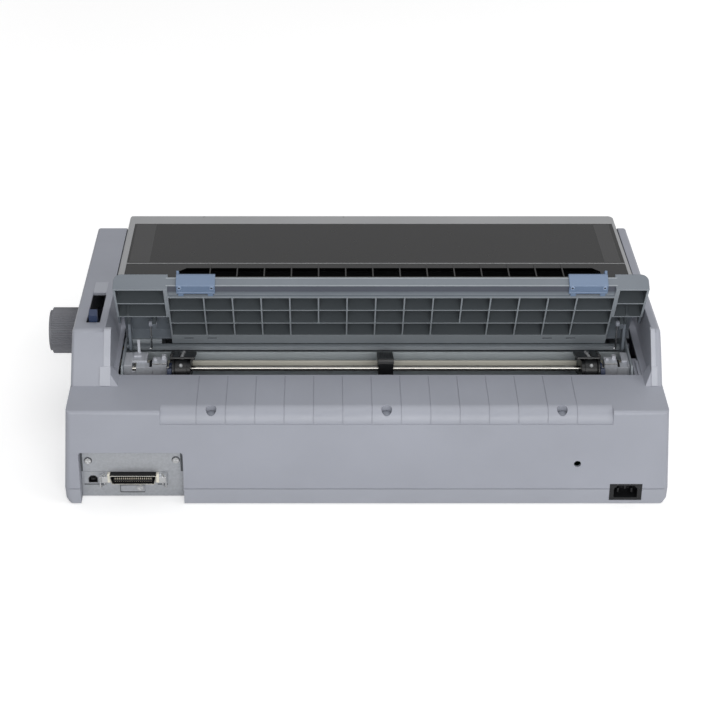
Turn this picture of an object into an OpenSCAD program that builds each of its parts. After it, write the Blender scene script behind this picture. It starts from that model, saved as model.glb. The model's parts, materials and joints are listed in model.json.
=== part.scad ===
// Wide carriage dot matrix printer with its paper guide raised.
// Front faces -Y, rear faces +Y, +Z is up and +X is the side with the paper feed knob.
// The origin is under the middle of the whole machine, on the surface that the feet stand on.

/* [Case] */
// Width of the case at deck height, without the knob
body_w = 606; // [602:1:608]
// Depth of the case from front wall to rear wall
body_d = 402; // [400:1:404]
// Height of the rear deck
deck_z = 110.5; // [110:0.25:111]
// Height of the shoulders at their rear edge
shoulder_z = 158; // [156:1:160]
// Height of the shoulders at their front edge
front_z = 141.5; // [140:0.5:143]
// Height of the seam between base tray and upper case
seam_z = 18; // [17:0.5:19]
// Wall thickness of the mouldings
wall = 3; // [2.8:0.1:3.2]
// How far each side wall leans out between deck and base
draft = 7.5; // [7:0.25:8]
// Radius of the rolled lip that the paper slides over
lip_r = 14.8; // [13:0.2:15]

/* [Paper path] */
// Middle of the paper path, measured from the middle of the case
paper_x = -20; // [-21:0.5:-19]
// Radius of the rubber platen
platen_r = 17; // [16:0.5:17]
// Radius of the steel platen shaft
platen_shaft_r = 5; // [4.5:0.5:5]
// How far the feed knob stands out from the case
knob_reach = 37; // [33:1:39]
// Radius of the feed knob
knob_r = 25; // [22:0.5:25]
// Side of the square tractor drive shaft
drive_side = 6; // [5:0.5:6]
// Radius of the round tractor support shaft
support_r = 3; // [2.5:0.5:3]
// Spacing of the feed pins along the belt
pin_pitch = 12.7; // [12.5:0.1:12.7]
// Number of feed pins on each belt
pin_count = 12; // [12:1:12]

/* [Paper guide] */
// Angle of the raised paper guide above level
raise = 59; // [55:1:61]
// Spacing of the lattice ribs along the guide's width
rib_pitch = 29.7; // [29:0.1:30]
// Number of lattice ribs
rib_count = 14; // [12:1:14]
// Thickness of the guide's end blocks
guide_t = 18.3; // [17:0.1:18.5]

/* [Top cover] */
// Spacing of the bars across the paper exit
bar_pitch = 29.6; // [28:0.1:30]
// Number of bars across the paper exit
bar_count = 14; // [10:1:14]

/* [Gears] */
// Module of the paper feed gears
gear_m = 1.25; // [1.25:0.05:1.25]
// Play between meshing teeth, measured along the pitch circle
gear_play = 0.3; // [0.2:0.05:0.4]

/* [Hidden] */
$fn = 48;

// Case outline, seen from the side as [y, z] and from the front as x measured from the middle of the case
half_w = body_w / 2;
rear_y = body_d / 2;
front_y = -rear_y;
mid_x = -(knob_reach - draft) / 2;
shoulder_front_y = -152;
shoulder_rear_y = 116;
slope_foot_y = 150;
top_slope = (shoulder_z - front_z) / (shoulder_rear_y - shoulder_front_y);
lip_x = [-247, 208.3];
well_x = [-292.7, 269];
opening_x = [-285, 257];
opening_y = [-150, 127];
well_step_y = 6;
tray_z = 0.8;
floor_z = tray_z + wall;
seam_w = half_w + draft * (1 - seam_z / deck_z);
lip_y = rear_y - 0.8 - lip_r;
recess_x = [187, 293];
recess_z = 62;
recess_depth = 14;
inlet_x = [-282.3, -249];
inlet_z = [4.6, 24.4];
slot_x = [275.3, 289.5];
slot_y = [26, 99.2];
panel_x = [120, 285];
panel_z = [58, 92];
front_slot_x = [-245, 85];
front_slot_z = [66, 80];
screw_x = [-290, 290];
screw_y = [-130, 130];
foot_x = [-270, 270];
foot_y = [-165, 165];
foot_r = 9;
button_x = [150, 192, 234];
button_z = 70;
lens_z = 84;
switch_at = [-250, -193.5, 48];

// Shafts and pivots as [y, z]
platen_at = [8, 97];
drive_at = [60.5, 86];
lean = 20.75;
support_reach = 34.4;
support_at = drive_at + support_reach * [cos(lean), sin(lean)];
carriage_at = [-48, 72];
carriage_shaft_r = 6;
guide_at = [52, 102];
cover_at = [14, 132];
lever_at = [66, 60];
fit = 0.05;

// Frames and the space that the mechanism takes along x
frame_t = 2;
left_frame_x = -279;
right_frame_x = 253.5;
gear_x = 267.5;
gear_w = 7;
roller_x = [-247, 208];

// Paper guide in its own plane: s runs from the pivot to the rim, t from the pivot to the top skin
guide_x = [-290.5, 260.5];
lattice_x = [-258.2, 206.4];
lattice_mid = (lattice_x[0] + lattice_x[1]) / 2;
guide_s = [-9, 103];
rail_s = 87;
under_t = 8.5;
top_t = under_t + guide_t;
row_s = [7.3, 33.1, 59.6];
rib_t = 1.8;
stay_s = 31;
stay_t = 10;
stay_x = [-266.5, 226.7];

// Tractors
tractor_w = 28.5;
tractor_x = [-248.5, 177.7];
belt_r = 10;
belt_t = 1.2;
hinge_x = 26.5;
hinge_z = 12.1;
hinge_y = [[4, 8], [22, 26]];
belt_reach = (pin_pitch * pin_count - 2 * PI * (belt_r + belt_t / 2)) / 2;

// Paper feed gears
platen_teeth = 36;
idler_teeth = 24;
tractor_teeth = 18;
pinion_teeth = 12;
function pitch_r(teeth) = gear_m * teeth / 2;
mesh_gap = 0.05;
pinion_dir = -110;
pinion_at = platen_at + (pitch_r(platen_teeth) + pitch_r(pinion_teeth) + mesh_gap)
    * [cos(pinion_dir), sin(pinion_dir)];
gear_line = drive_at - platen_at;
gear_span = norm(gear_line);
idler_from_platen = pitch_r(platen_teeth) + pitch_r(idler_teeth) + mesh_gap;
idler_from_drive = pitch_r(idler_teeth) + pitch_r(tractor_teeth) + mesh_gap;
idler_along = (pow(idler_from_platen, 2) - pow(idler_from_drive, 2) + pow(gear_span, 2)) / (2 * gear_span);
idler_down = sqrt(pow(idler_from_platen, 2) - pow(idler_along, 2));
gear_unit = gear_line / gear_span;
idler_at = platen_at + idler_along * gear_unit + idler_down * [gear_unit[1], -gear_unit[0]];

// Print mechanism
carriage_x = -180;
belt_y = -75;
belt_z = [66, 72];
pulley_x = [-254, 234];
pulley_r = 7.2;
ribbon_x = [-262, 216];
chassis_z = [24, 26];

// Height of the plane through the tops of the two shoulders
function top_plane(y) = shoulder_z - (shoulder_rear_y - y) * top_slope;

// Involute in degrees and the outline of a spur gear
function inv(a) = tan(a) * 180 / PI - a;
function half_tooth(teeth, rho) =
    let (r = pitch_r(teeth), base = r * cos(20))
    90 / teeth - gear_play / (4 * r) * 180 / PI + inv(20) - (rho > base ? inv(acos(base / rho)) : 0);
function tooth_radii(teeth) =
    let (r = pitch_r(teeth))
    [r - 1.25 * gear_m, r * cos(20) + 0.02, r, r + gear_m / 2, r + gear_m];
function gear_outline(teeth, phase) =
    let (radii = tooth_radii(teeth), last = len(radii) - 1)
    [for (k = [0:teeth - 1], i = [0:2 * last + 1])
        let (rho = radii[i <= last ? i : 2 * last + 1 - i], side = i <= last ? -1 : 1)
        let (a = phase + k * 360 / teeth + side * half_tooth(teeth, rho))
        rho * [cos(a), sin(a)]];
// Phase of the second gear that puts its gap on the first gear's tooth, for centres in the direction dir
function mesh_phase(dir, phase, teeth, next_teeth) =
    dir + 180 - (phase - dir) * teeth / next_teeth + 180 / next_teeth;
function heading(v) = atan2(v[1], v[0]);

// Lay a [y, z] outline along x, an [x, z] outline along y, and move x to the middle of the case
module along_x(x0, x1) {
    translate([mid_x + x0, 0, 0]) rotate([90, 0, 90]) linear_extrude(x1 - x0) children();
}
module along_y(y0, y1) {
    translate([mid_x, y1, 0]) rotate([90, 0, 0]) linear_extrude(y1 - y0) children();
}
module block(x, y, z) {
    translate([mid_x + x[0], y[0], z[0]]) cube([x[1] - x[0], y[1] - y[0], z[1] - z[0]]);
}
module rod(x0, x1, at, r) {
    translate([mid_x + x0, at[0], at[1]]) rotate([0, 90, 0]) cylinder(r = r, h = x1 - x0);
}
module post(x, y, z, r) {
    translate([mid_x + x, y, z[0]]) cylinder(r = r, h = z[1] - z[0]);
}
module stud(x, y, z, r) {
    translate([mid_x + x, y[1], z]) rotate([90, 0, 0]) cylinder(r = r, h = y[1] - y[0]);
}
module round_rect(w, h, r) {
    square([w, h - 2 * r], center = true);
    square([w - 2 * r, h], center = true);
    for (x = [-1, 1], y = [-1, 1]) translate([x * (w / 2 - r), y * (h / 2 - r)]) circle(r);
}
module racetrack(reach, r) {
    circle(r);
    translate([reach, 0]) circle(r);
    translate([0, -r]) square([reach, 2 * r]);
}

// Case: a box with round corners that narrows upwards, cut by a side profile
module corners(x, y, z, r) {
    for (sx = [-1, 1], sy = [-1, 1]) translate([mid_x + sx * (x - r), sy * (y - r), z])
        cylinder(r = r, h = 0.01, $fn = 20);
}
module case_form() {
    intersection() {
        along_x(-half_w - draft - 1, half_w + draft + 1) polygon([
            [front_y - 1, 0], [front_y - 1, 96], [front_y, 98], [front_y + 11, 112], [shoulder_front_y, front_z],
            [shoulder_rear_y, shoulder_z], [133.5, 136], [slope_foot_y, deck_z], [rear_y + 1, deck_z], [rear_y + 1, 0]
        ]);
        union() {
            hull() {
                corners(half_w + draft, rear_y, 0, 6);
                corners(half_w, rear_y, deck_z, 6);
            }
            hull() {
                corners(half_w, rear_y, deck_z, 6);
                corners(half_w - 1, rear_y, shoulder_z + 2, 6);
            }
        }
    }
}
module lid_well(grow) {
    along_x(well_x[0] - grow, well_x[1] + grow) polygon([
        [-210, 111.5 - grow], [-193 + grow, 111.5 - grow], [-193 + grow, 122 - grow],
        [-189 + grow / 2, 129.5 - grow], [-182, 133 - grow], [well_step_y - grow, 144.5 - grow],
        [well_step_y - grow, 210], [-210, 210]
    ]);
}
module guide_well(grow) {
    along_y(well_step_y - grow, opening_y[1] + grow) polygon([
        [-292 - grow, deck_z - grow], [262 + grow, deck_z - grow], [well_x[1] + grow, shoulder_z],
        [well_x[1] + grow, 215], [well_x[0] - grow, 215], [well_x[0] - grow, shoulder_z]
    ]);
    along_y(opening_y[1] - 1, 215) polygon([
        [-285.4 - grow, deck_z - grow], [254.5 + grow, deck_z - grow], [264.3 + grow, 123.5],
        [well_x[1] + grow, 140], [well_x[1] + grow, 215], [well_x[0] - grow, 215],
        [well_x[0] - grow, 140], [-291.5 - grow, 123.5]
    ]);
}
module case_inside() {
    difference() {
        intersection() {
            along_x(-half_w - draft, half_w + draft) polygon([
                [front_y + wall, 0], [front_y + wall, 97], [front_y + 12, 108.6],
                [shoulder_front_y + 1, front_z - wall], [shoulder_rear_y - 1.5, shoulder_z - wall],
                [131, 134.5], [148.2, deck_z - wall], [rear_y - wall - lip_r, deck_z - wall],
                [rear_y - wall, deck_z - wall - lip_r], [rear_y - wall, 0]
            ]);
            along_y(front_y, rear_y) polygon([
                [-half_w - draft + wall, 0], [half_w + draft - wall, 0], [half_w - wall, deck_z],
                [half_w - wall - 1, shoulder_z], [-half_w + wall + 1, shoulder_z], [-half_w + wall, deck_z]
            ]);
        }
        lid_well(wall);
        guide_well(wall);
        recess(wall, recess_depth + wall);
    }
}
module recess(grow, depth) {
    x = [recess_x[0] - grow, recess_x[1] + grow];
    y = [rear_y - depth, rear_y + 5];
    top = recess_z + grow;
    r = 3 + grow;
    block(x, y, [-1, top - r]);
    block([x[0] + r, x[1] - r], y, [-1, top]);
    for (cx = [x[0] + r, x[1] - r]) stud(cx, y, top - r, r);
}
module edge_roll(x, r, y) {
    difference() {
        block(x, [y, rear_y + 1], [deck_z - r, deck_z + 1]);
        rod(x[0] - 1, x[1] + 1, [y, deck_z - r], r);
    }
}
module deck_grooves() {
    difference() {
        for (k = [0:13]) {
            x = paper_x + 0.5 + (k - 6.5) * 29.48;
            block([x - 0.4, x + 0.4], [opening_y[1] + 3, rear_y + 1], [deck_z - lip_r + 1, deck_z + 1]);
        }
        block(lip_x, [100, lip_y], [50, deck_z - 0.5]);
        rod(lip_x[0], lip_x[1], [lip_y, deck_z - lip_r], lip_r - 0.5);
    }
}
module upper_case() color([0.62, 0.64, 0.67]) {
    difference() {
        intersection() {
            case_form();
            translate([-400, -300, seam_z]) cube([800, 600, 200]);
        }
        case_inside();
        lid_well(0);
        guide_well(0);
        recess(0, recess_depth + wall + 1);
        block(opening_x, opening_y, [90, 200]);
        edge_roll([-half_w - 5, lip_x[0]], 4, rear_y - 4);
        edge_roll(lip_x, lip_r, lip_y);
        edge_roll([lip_x[1], half_w + 5], 4, rear_y - 4);
        deck_grooves();
        for (k = [-1:1]) post(paper_x + 0.5 + k * 176.6, rear_y - 8.7, [deck_z - 20, deck_z + 1], 5.4);
        // Shadow line above the seam
        difference() {
            block([-seam_w - 1, seam_w + 1], [front_y - 1, rear_y + 1], [seam_z - 1, seam_z + 0.8]);
            block([-seam_w + 0.8, seam_w - 0.8], [front_y + 0.8, rear_y - 0.8], [seam_z - 2, seam_z + 2]);
        }
        stud(-214.2, [rear_y - wall - 1, rear_y + 1], 48.8, 3.6);
        block(inlet_x, [rear_y - wall - 1, rear_y + 1], inlet_z);
        block(slot_x, slot_y, [deck_z + 20, shoulder_z + 5]);
        rod(half_w - 20, half_w + 5, platen_at, 9);
        rod(262, 267.2, cover_at, 2.5 + fit);
        rod(-296, -290, cover_at, 2.5 + fit);
        block(panel_x, [front_y - 1, front_y + 2], panel_z);
        block([panel_x[0] + 4, panel_x[1] - 4], [front_y - 1, front_y + 5], [panel_z[0] + 4, panel_z[1] - 4]);
        block([switch_at[0] - 7.4, switch_at[0] + 7.4], [front_y - 1, front_y + 5],
            [switch_at[2] - 12, switch_at[2] + 12]);
        block(front_slot_x, [front_y - 1, front_y + 8], front_slot_z);
    }
    // Bosses for the case screws and ears for the power rocker
    for (x = screw_x, y = screw_y) difference() {
        union() {
            post(x, y, [seam_z, 50], 6);
            block([min(x, sign(x) * (half_w + 2.5)), max(x, sign(x) * (half_w + 2.5))],
                [y - 1.5, y + 1.5], [seam_z + 2, 50]);
        }
        post(x, y, [seam_z - 1, 45], 2);
    }
    for (x = [switch_at[0] - 9.6, switch_at[0] + 7.6]) difference() {
        block([x, x + 2], [front_y + wall - 0.1, switch_at[1] + 4], [switch_at[2] - 5, switch_at[2] + 5]);
        rod(x - 1, x + 3, [switch_at[1], switch_at[2]], 1.5 + fit);
    }
    // Turned down edge of the rear opening
    block([opening_x[0], opening_x[1]], [opening_y[1], opening_y[1] + 2.5], [deck_z - 13, deck_z - 0.01]);
}

// Base tray with ribs, posts for the chassis, air slots and the notch under the sockets
module base_tray() color([0.60, 0.61, 0.65]) {
    difference() {
        hull() {
            corners(seam_w - 3.8, rear_y, tray_z, 5);
            corners(seam_w - 0.6, rear_y, tray_z + 5, 6);
            corners(seam_w, rear_y, seam_z - 0.01, 6);
        }
        difference() {
            block([-seam_w + wall + 1, seam_w - wall - 1], [front_y + wall, rear_y - wall], [floor_z, seam_z + 1]);
            recess(wall, recess_depth + wall);
        }
        recess(0, recess_depth + wall + 1);
        block(inlet_x, [rear_y - wall - 1, rear_y + 1], inlet_z);
        for (x = [-200:50:150]) block([x, x + 5], [-90, -20], [0, 6]);
        for (x = screw_x, y = screw_y) {
            post(x, y, [-1, seam_z + 1], 2.3);
            post(x, y, [-1, tray_z + 1.6], 4.5);
        }
        for (x = foot_x, y = foot_y) post(x, y, [0, tray_z + 1.2], foot_r + fit);
    }
    for (x = screw_x, y = screw_y) difference() {
        post(x, y, [floor_z - 0.5, seam_z], 6);
        post(x, y, [0, seam_z + 1], 2.3);
    }
    for (x = [-245, 225], y = [-100, 100]) post(x, y, [floor_z - 0.5, chassis_z[0]], 7);
    for (y = [-142, 110]) block([-seam_w + wall, seam_w - wall], [y, y + 2], [floor_z - 0.5, floor_z + 3]);
}
module feet() color([0.16, 0.16, 0.17]) {
    for (x = foot_x, y = foot_y) post(x, y, [0, tray_z + 1.2], foot_r);
}
module screw_head(x, y, z) {
    difference() {
        stud(x, [y, y + 1.8], z, 3.4);
        block([x - 2.2, x + 2.2], [y + 1, y + 3], [z - 0.45, z + 0.45]);
        block([x - 0.45, x + 0.45], [y + 1, y + 3], [z - 2.2, z + 2.2]);
    }
}
module screws() color([0.72, 0.72, 0.70]) {
    screw_head(285.1, panel_y + plate_t, 44.5);
    screw_head(195.1, panel_y + plate_t, 45.5);
    screw_head(232.8, panel_y + tab_t, 13.3);
    for (x = screw_x, y = screw_y) {
        post(x, y, [tray_z + 0.4, tray_z + 1.6], 4);
        post(x, y, [tray_z + 1.5, 40], 1.95);
    }
}

// Steel chassis plate with a turned up front flange that the carriage slides on
module chassis_plate() color([0.66, 0.67, 0.68]) {
    x = [left_frame_x + frame_t, right_frame_x];
    difference() {
        union() {
            block(x, [-110, 118], chassis_z);
            block(x, [-110, -108], [chassis_z[0], 58]);
            block(x, [116, 118], [chassis_z[0], 60]);
            post(pulley_x[1], belt_y, [chassis_z[0], 44], 7);
        }
        post(pulley_x[1], belt_y, [chassis_z[1] + 4, 45], 2.5 + fit);
    }
}
module frame_plate(x) {
    along_x(x, x + frame_t) difference() {
        polygon([
            [-112, 20], [118, 20], [118, 92], [104, 108], [46, 109], [40, 99], [23, 99], [20, 112], [-8, 112],
            [-18, 84], [-70, 84], [-84, 60], [-112, 56]
        ]);
        translate(platen_at) circle(platen_shaft_r + fit);
        translate(drive_at) circle(support_r + 1 + fit);
        translate(support_at) circle(support_r + fit);
        translate(carriage_at) circle(carriage_shaft_r + fit);
        translate(guide_at) circle(3 + fit);
        translate([90, 50]) circle(14);
        translate([40, 45]) round_rect(50, 22, 8);
        translate([-70, 40]) round_rect(34, 16, 6);
    }
}
module left_side_frame() color([0.33, 0.35, 0.37]) {
    frame_plate(left_frame_x);
    block([left_frame_x - 6, left_frame_x], [-112, 118], [20, 22]);
}
module right_side_frame() color([0.33, 0.35, 0.37]) {
    difference() {
        frame_plate(right_frame_x);
        rod(right_frame_x - 1, right_frame_x + 3, pinion_at, 4);
    }
    block([right_frame_x + frame_t, right_frame_x + frame_t + 6], [-112, 118], [20, 22]);
    rod(right_frame_x + frame_t, gear_x + gear_w + 0.5, idler_at, 4);
    rod(right_frame_x + frame_t, 286, lever_at, 4);
}

// Sockets in the recess
plate_t = 0.8;
tab_t = 3;
ledge_t = 1;
panel_y = rear_y - recess_depth;
usb_outline = [[276.4, 18], [285.6, 18], [285.6, 23.4], [283.2, 26.2], [278.8, 26.2], [276.4, 23.4]];
socket_mid = 239.3;
socket_half = 23.9;
socket_z = [19.8, 30.2];
bail_at = [30, panel_y + ledge_t + 1.7];
bail_z = [16.5, 29.5];
module interface_panel() color([0.68, 0.70, 0.71]) {
    x = [recess_x[0] + 0.2, recess_x[1] - 0.2];
    top = recess_z - 0.3;
    difference() {
        union() {
            along_y(panel_y - 1.5, panel_y) polygon([
                [x[0], tray_z], [x[1], tray_z], [x[1], top - 1.5], [x[1] - 1.5, top], [x[0] + 1.5, top], [x[0], top - 1.5]
            ]);
            block([204.5, 290.2], [panel_y - 0.1, panel_y + ledge_t], [16, 31]);
            block([228.2, 252.7], [panel_y - 0.1, panel_y + tab_t], [7.4, 15.2]);
        }
        along_y(panel_y - 3, panel_y + 3) offset(delta = 0.1) polygon(usb_outline);
        block([socket_mid - 25.9, socket_mid + 25.9], [panel_y - 3, panel_y + 3], [socket_z[0] - 0.6, socket_z[1] + 0.6]);
        for (at = [[285.1, 44.5], [195.1, 45.5]]) stud(at[0], [panel_y - 3, panel_y + 3], at[1], 1.5);
        block([204, 276], [panel_y - 3, panel_y + 0.5], [38, 52]);
    }
}
module option_plate() color([0.69, 0.71, 0.72]) {
    block([190.6, 290.9], [panel_y, panel_y + plate_t], [31.1, recess_z - 2]);
}
module usb_socket() color([0.12, 0.12, 0.13]) {
    difference() {
        along_y(panel_y - 14, panel_y + ledge_t + 0.4) polygon(usb_outline);
        along_y(panel_y - 9, panel_y + 3) offset(delta = -0.7) polygon(usb_outline);
    }
    block([278.8, 283.2], [panel_y - 10, panel_y], [20.6, 22.8]);
}
module socket_outline() {
    polygon([
        [socket_mid - socket_half, socket_z[1]], [socket_mid - socket_half, socket_z[1] - 3],
        [socket_mid - socket_half + 2, socket_z[0]], [socket_mid + socket_half - 2, socket_z[0]],
        [socket_mid + socket_half, socket_z[1] - 3], [socket_mid + socket_half, socket_z[1]]
    ]);
}
module parallel_socket() color([0.80, 0.79, 0.72]) {
    y = panel_y;
    tongue_z = [22.9, 27.1];
    difference() {
        union() {
            block([socket_mid - 25.8, socket_mid + 25.8], [y - 10, y - 0.1], [socket_z[0] - 0.4, socket_z[1] + 0.4]);
            along_y(y - 0.2, y + 8) socket_outline();
            for (s = [-1, 1]) {
                block([socket_mid + s * 28.2 - 5.2, socket_mid + s * 28.2 + 5.2], [y + ledge_t, y + ledge_t + 3.4],
                    [19.6, 26.4]);
                block([socket_mid + s * 25 - 1.4, socket_mid + s * 25 + 1.4], [y + ledge_t, y + 5.2], [20.4, 30.6]);
            }
        }
        along_y(y - 4, y + 9) offset(delta = -0.8) socket_outline();
        for (s = [-1, 1]) post(socket_mid + s * bail_at[0], bail_at[1], [15, 32], 0.9);
    }
    difference() {
        block([socket_mid - 20, socket_mid + 20], [y - 5, y + 7], tongue_z);
        for (k = [0:17], edge = tongue_z) {
            cx = socket_mid + (k - 8.5) * 2.16;
            block([cx - 0.4, cx + 0.4], [y - 3, y + 8], [edge - 0.3, edge + 0.3]);
        }
    }
}
module wire_bail(side) {
    x = socket_mid + side * bail_at[0];
    w = 0.8;
    post(x, bail_at[1], [bail_z[0], 21], w);
    post(x, bail_at[1], [24.5, bail_z[1]], w);
    translate([mid_x + x, bail_at[1], 0]) rotate([0, 0, side * -35]) {
        for (z = bail_z) translate([0, -w / 2, z]) rotate([-90, 0, 0]) cylinder(r = w - 0.05, h = 6.5 + w / 2);
        translate([0, 6.5, bail_z[0] - w / 2]) cylinder(r = w, h = bail_z[1] - bail_z[0] + w);
    }
}
module left_wire_bail() color([0.78, 0.77, 0.70]) wire_bail(-1);
module right_wire_bail() color([0.78, 0.77, 0.70]) wire_bail(1);
module ac_inlet() color([0.20, 0.20, 0.21]) {
    mid = [(inlet_x[0] + inlet_x[1]) / 2, (inlet_z[0] + inlet_z[1]) / 2];
    difference() {
        union() {
            block([inlet_x[0] + 0.2, inlet_x[1] - 0.2], [rear_y - wall - 0.5, rear_y - 0.4],
                [inlet_z[0] + 0.2, inlet_z[1] - 0.2]);
            block([inlet_x[0] + 2, inlet_x[1] - 2], [rear_y - 24, rear_y - wall], [inlet_z[0] + 0.5, inlet_z[1] - 1]);
        }
        along_y(rear_y - 19, rear_y + 1) translate(mid) polygon([
            [-12, -7], [12, -7], [12, 4], [8.5, 7.5], [-8.5, 7.5], [-12, 4]
        ]);
    }
    for (k = [[-7, -1.5], [0, 2.5], [7, -1.5]]) color([0.75, 0.74, 0.68])
        block([mid[0] + k[0] - 1, mid[0] + k[0] + 1], [rear_y - 20, rear_y - 6], [mid[1] + k[1] - 2.2, mid[1] + k[1] + 2.2]);
}

// Front controls
module control_panel() color([0.50, 0.52, 0.56]) {
    difference() {
        block([panel_x[0] + 0.3, panel_x[1] - 0.3], [front_y + 0.4, front_y + 2], [panel_z[0] + 0.3, panel_z[1] - 0.3]);
        for (x = button_x) block([x - 11.3, x + 11.3], [front_y - 1, front_y + 4], [button_z - 4.3, button_z + 4.3]);
        for (k = [0:4]) stud(145 + k * 24, [front_y - 1, front_y + 4], lens_z, 1.8);
    }
}
module indicator_lenses() color([0.55, 0.78, 0.45]) {
    for (k = [0:4]) {
        stud(145 + k * 24, [front_y + 0.2, front_y + 4], lens_z, 1.7);
        stud(145 + k * 24, [front_y + 2, front_y + 4], lens_z, 2.6);
    }
}
module button(x) {
    block([x - 11, x + 11], [front_y + 0.1, front_y + 3.2], [button_z - 4, button_z + 4]);
    block([x - 12.5, x + 12.5], [front_y + 3.1, front_y + 4.6], [button_z - 5.5, button_z + 5.5]);
}
module pause_button() color([0.72, 0.74, 0.77]) button(button_x[0]);
module feed_button() color([0.72, 0.74, 0.77]) button(button_x[1]);
module load_button() color([0.72, 0.74, 0.77]) button(button_x[2]);
module power_switch() color([0.18, 0.18, 0.19]) {
    translate([0, switch_at[1], switch_at[2]]) rotate([7, 0, 0])
        along_x(switch_at[0] - 6.6, switch_at[0] + 6.6) polygon([
            [-5.6, -10.4], [-4.2, 0], [-5.6, 10.4], [0.5, 9], [3.5, 2], [3.5, -2], [0.5, -9]
        ]);
    rod(switch_at[0] - 9.4, switch_at[0] + 9.4, [switch_at[1], switch_at[2]], 1.5);
}

// Top cover: frame, smoky window and ribbed paper exit
module cover_side(inset) {
    polygon([
        [-199.5 + inset, 112.3], [-199.5 + inset, 125 - inset / 3], [-197 + inset, 132 - inset / 2],
        [-192 + inset / 2, 137.4 - inset * 0.7], [-184, top_plane(-184) - inset], [4 - inset, top_plane(4) - inset],
        [4 - inset, 146.3], [-170, top_plane(-170) - 4.6], [-184, 134.6], [-190.6, 130.8],
        [-194.8, 123], [-194.8, 112.3]
    ]);
}
module cover_slab(x, y, top, t) {
    along_x(x[0], x[1]) polygon([
        [y[0], top_plane(y[0]) - top], [y[1], top_plane(y[1]) - top],
        [y[1], top_plane(y[1]) - top - t], [y[0], top_plane(y[0]) - top - t]
    ]);
}
cover_x = [-292, 268.3];
window_x = [-288, 261];
window_y = [-165.5, -53.1];
grille_y = [-51.9, -6];
exit_x = [-258, 202];
exit_y = [-40, -17];
module cover_arm(x) {
    along_x(x, x + 4) polygon([
        [-14, 147.3], [3, 148.5], [16, 144], [20, 137], [19, 127.5], [10, 127.5], [8, 134], [8, 145.4], [-14, 146.1]
    ]);
}
module top_cover() color([0.63, 0.65, 0.69]) {
    difference() {
        along_x(cover_x[0], cover_x[1]) cover_side(0);
        along_x(cover_x[0] + 2.5, cover_x[1] - 2.5) polygon([
            [-197.5, 100], [-197.5, 124.5], [-195, 131], [-190.8, 135.2], [-183.6, top_plane(-183.6) - 2.6],
            [1.5, top_plane(1.5) - 2.6], [1.5, 140], [-170, 120]
        ]);
        cover_slab(window_x, window_y, -1, 3.1);
        cover_slab(window_x, grille_y, -1, 3.1);
        cover_slab([window_x[0] + 6, window_x[1] - 6], [window_y[0] + 6, window_y[1] - 4], -1, 8);
        cover_slab([window_x[0] + 6, window_x[1] - 6], [grille_y[0] + 3, grille_y[1] - 4], -1, 8);
        block([cover_x[1] - 2.2, cover_x[1] + 1], [-12, 5], [100, 170]);
    }
    cover_arm(258);
    cover_arm(-289);
    rod(262, 266.6, cover_at, 2.5);
    rod(-294, -289, cover_at, 2.5);
}
module cover_window() color([0.26, 0.26, 0.26, 0.9]) {
    cover_slab([window_x[0] + 0.2, window_x[1] - 0.2], [window_y[0] + 0.2, window_y[1] - 0.2], 0.2, 1.8);
}
module paper_exit_grille() color([0.22, 0.22, 0.23]) {
    x = [window_x[0] + 0.2, window_x[1] - 0.2];
    difference() {
        cover_slab(x, [grille_y[0] + 0.2, grille_y[1] - 0.2], 0.2, 1.8);
        intersection() {
            cover_slab(exit_x, exit_y, -1, 5);
            translate([mid_x, 0, 100]) linear_extrude(100) polygon([
                [exit_x[0] + 8, exit_y[0]], [exit_x[1] - 8, exit_y[0]], [exit_x[1], exit_y[0] + 9],
                [exit_x[1], exit_y[1]], [exit_x[0], exit_y[1]], [exit_x[0], exit_y[0] + 9]
            ]);
        }
    }
    for (k = [0:bar_count - 1]) {
        bx = paper_x - 4.6 + (k - (bar_count - 1) / 2) * bar_pitch;
        cover_slab([bx - 0.7, bx + 0.7], [grille_y[0] + 3.2, grille_y[1] - 4.2], -0.4, 2.6);
    }
}

// Paper guide, drawn in its own plane and then raised about its pivot
module on_guide() {
    translate([0, guide_at[0], guide_at[1]]) rotate([raise, 0, 0]) children();
}
module end_block(x, outer_side) {
    r = 8;
    skin = 2.5;
    difference() {
        along_y(30, guide_s[1]) union() {
            translate([x[0], under_t]) square([x[1] - x[0], guide_t - r]);
            translate([x[0] + (outer_side < 0 ? r : 0), under_t]) square([x[1] - x[0] - r, guide_t]);
            translate([outer_side < 0 ? x[0] + r : x[1] - r, top_t - r]) circle(r);
        }
        difference() {
            block([x[0] + skin, x[1] - skin], [48.4, guide_s[1] - skin], [0, top_t - skin]);
            block(x, [73.2, 73.2 + rib_t], [under_t, top_t]);
        }
        block([x[0] + skin, x[1] - skin], [20, 46.6], [0, top_t - skin]);
        block([x[0] - 1, x[1] + 1], [-1, 46.6], [-5, under_t + 2]);
    }
}
module guide_arm(x) {
    along_x(x, x + 3) polygon([[50, under_t + 1], [50, 23], [30, 23], [-4, 4], [-4, -3], [4, -4.5], [30, under_t + 1]]);
    rod(x, x + 3, [0, 0], 6);
}
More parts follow.
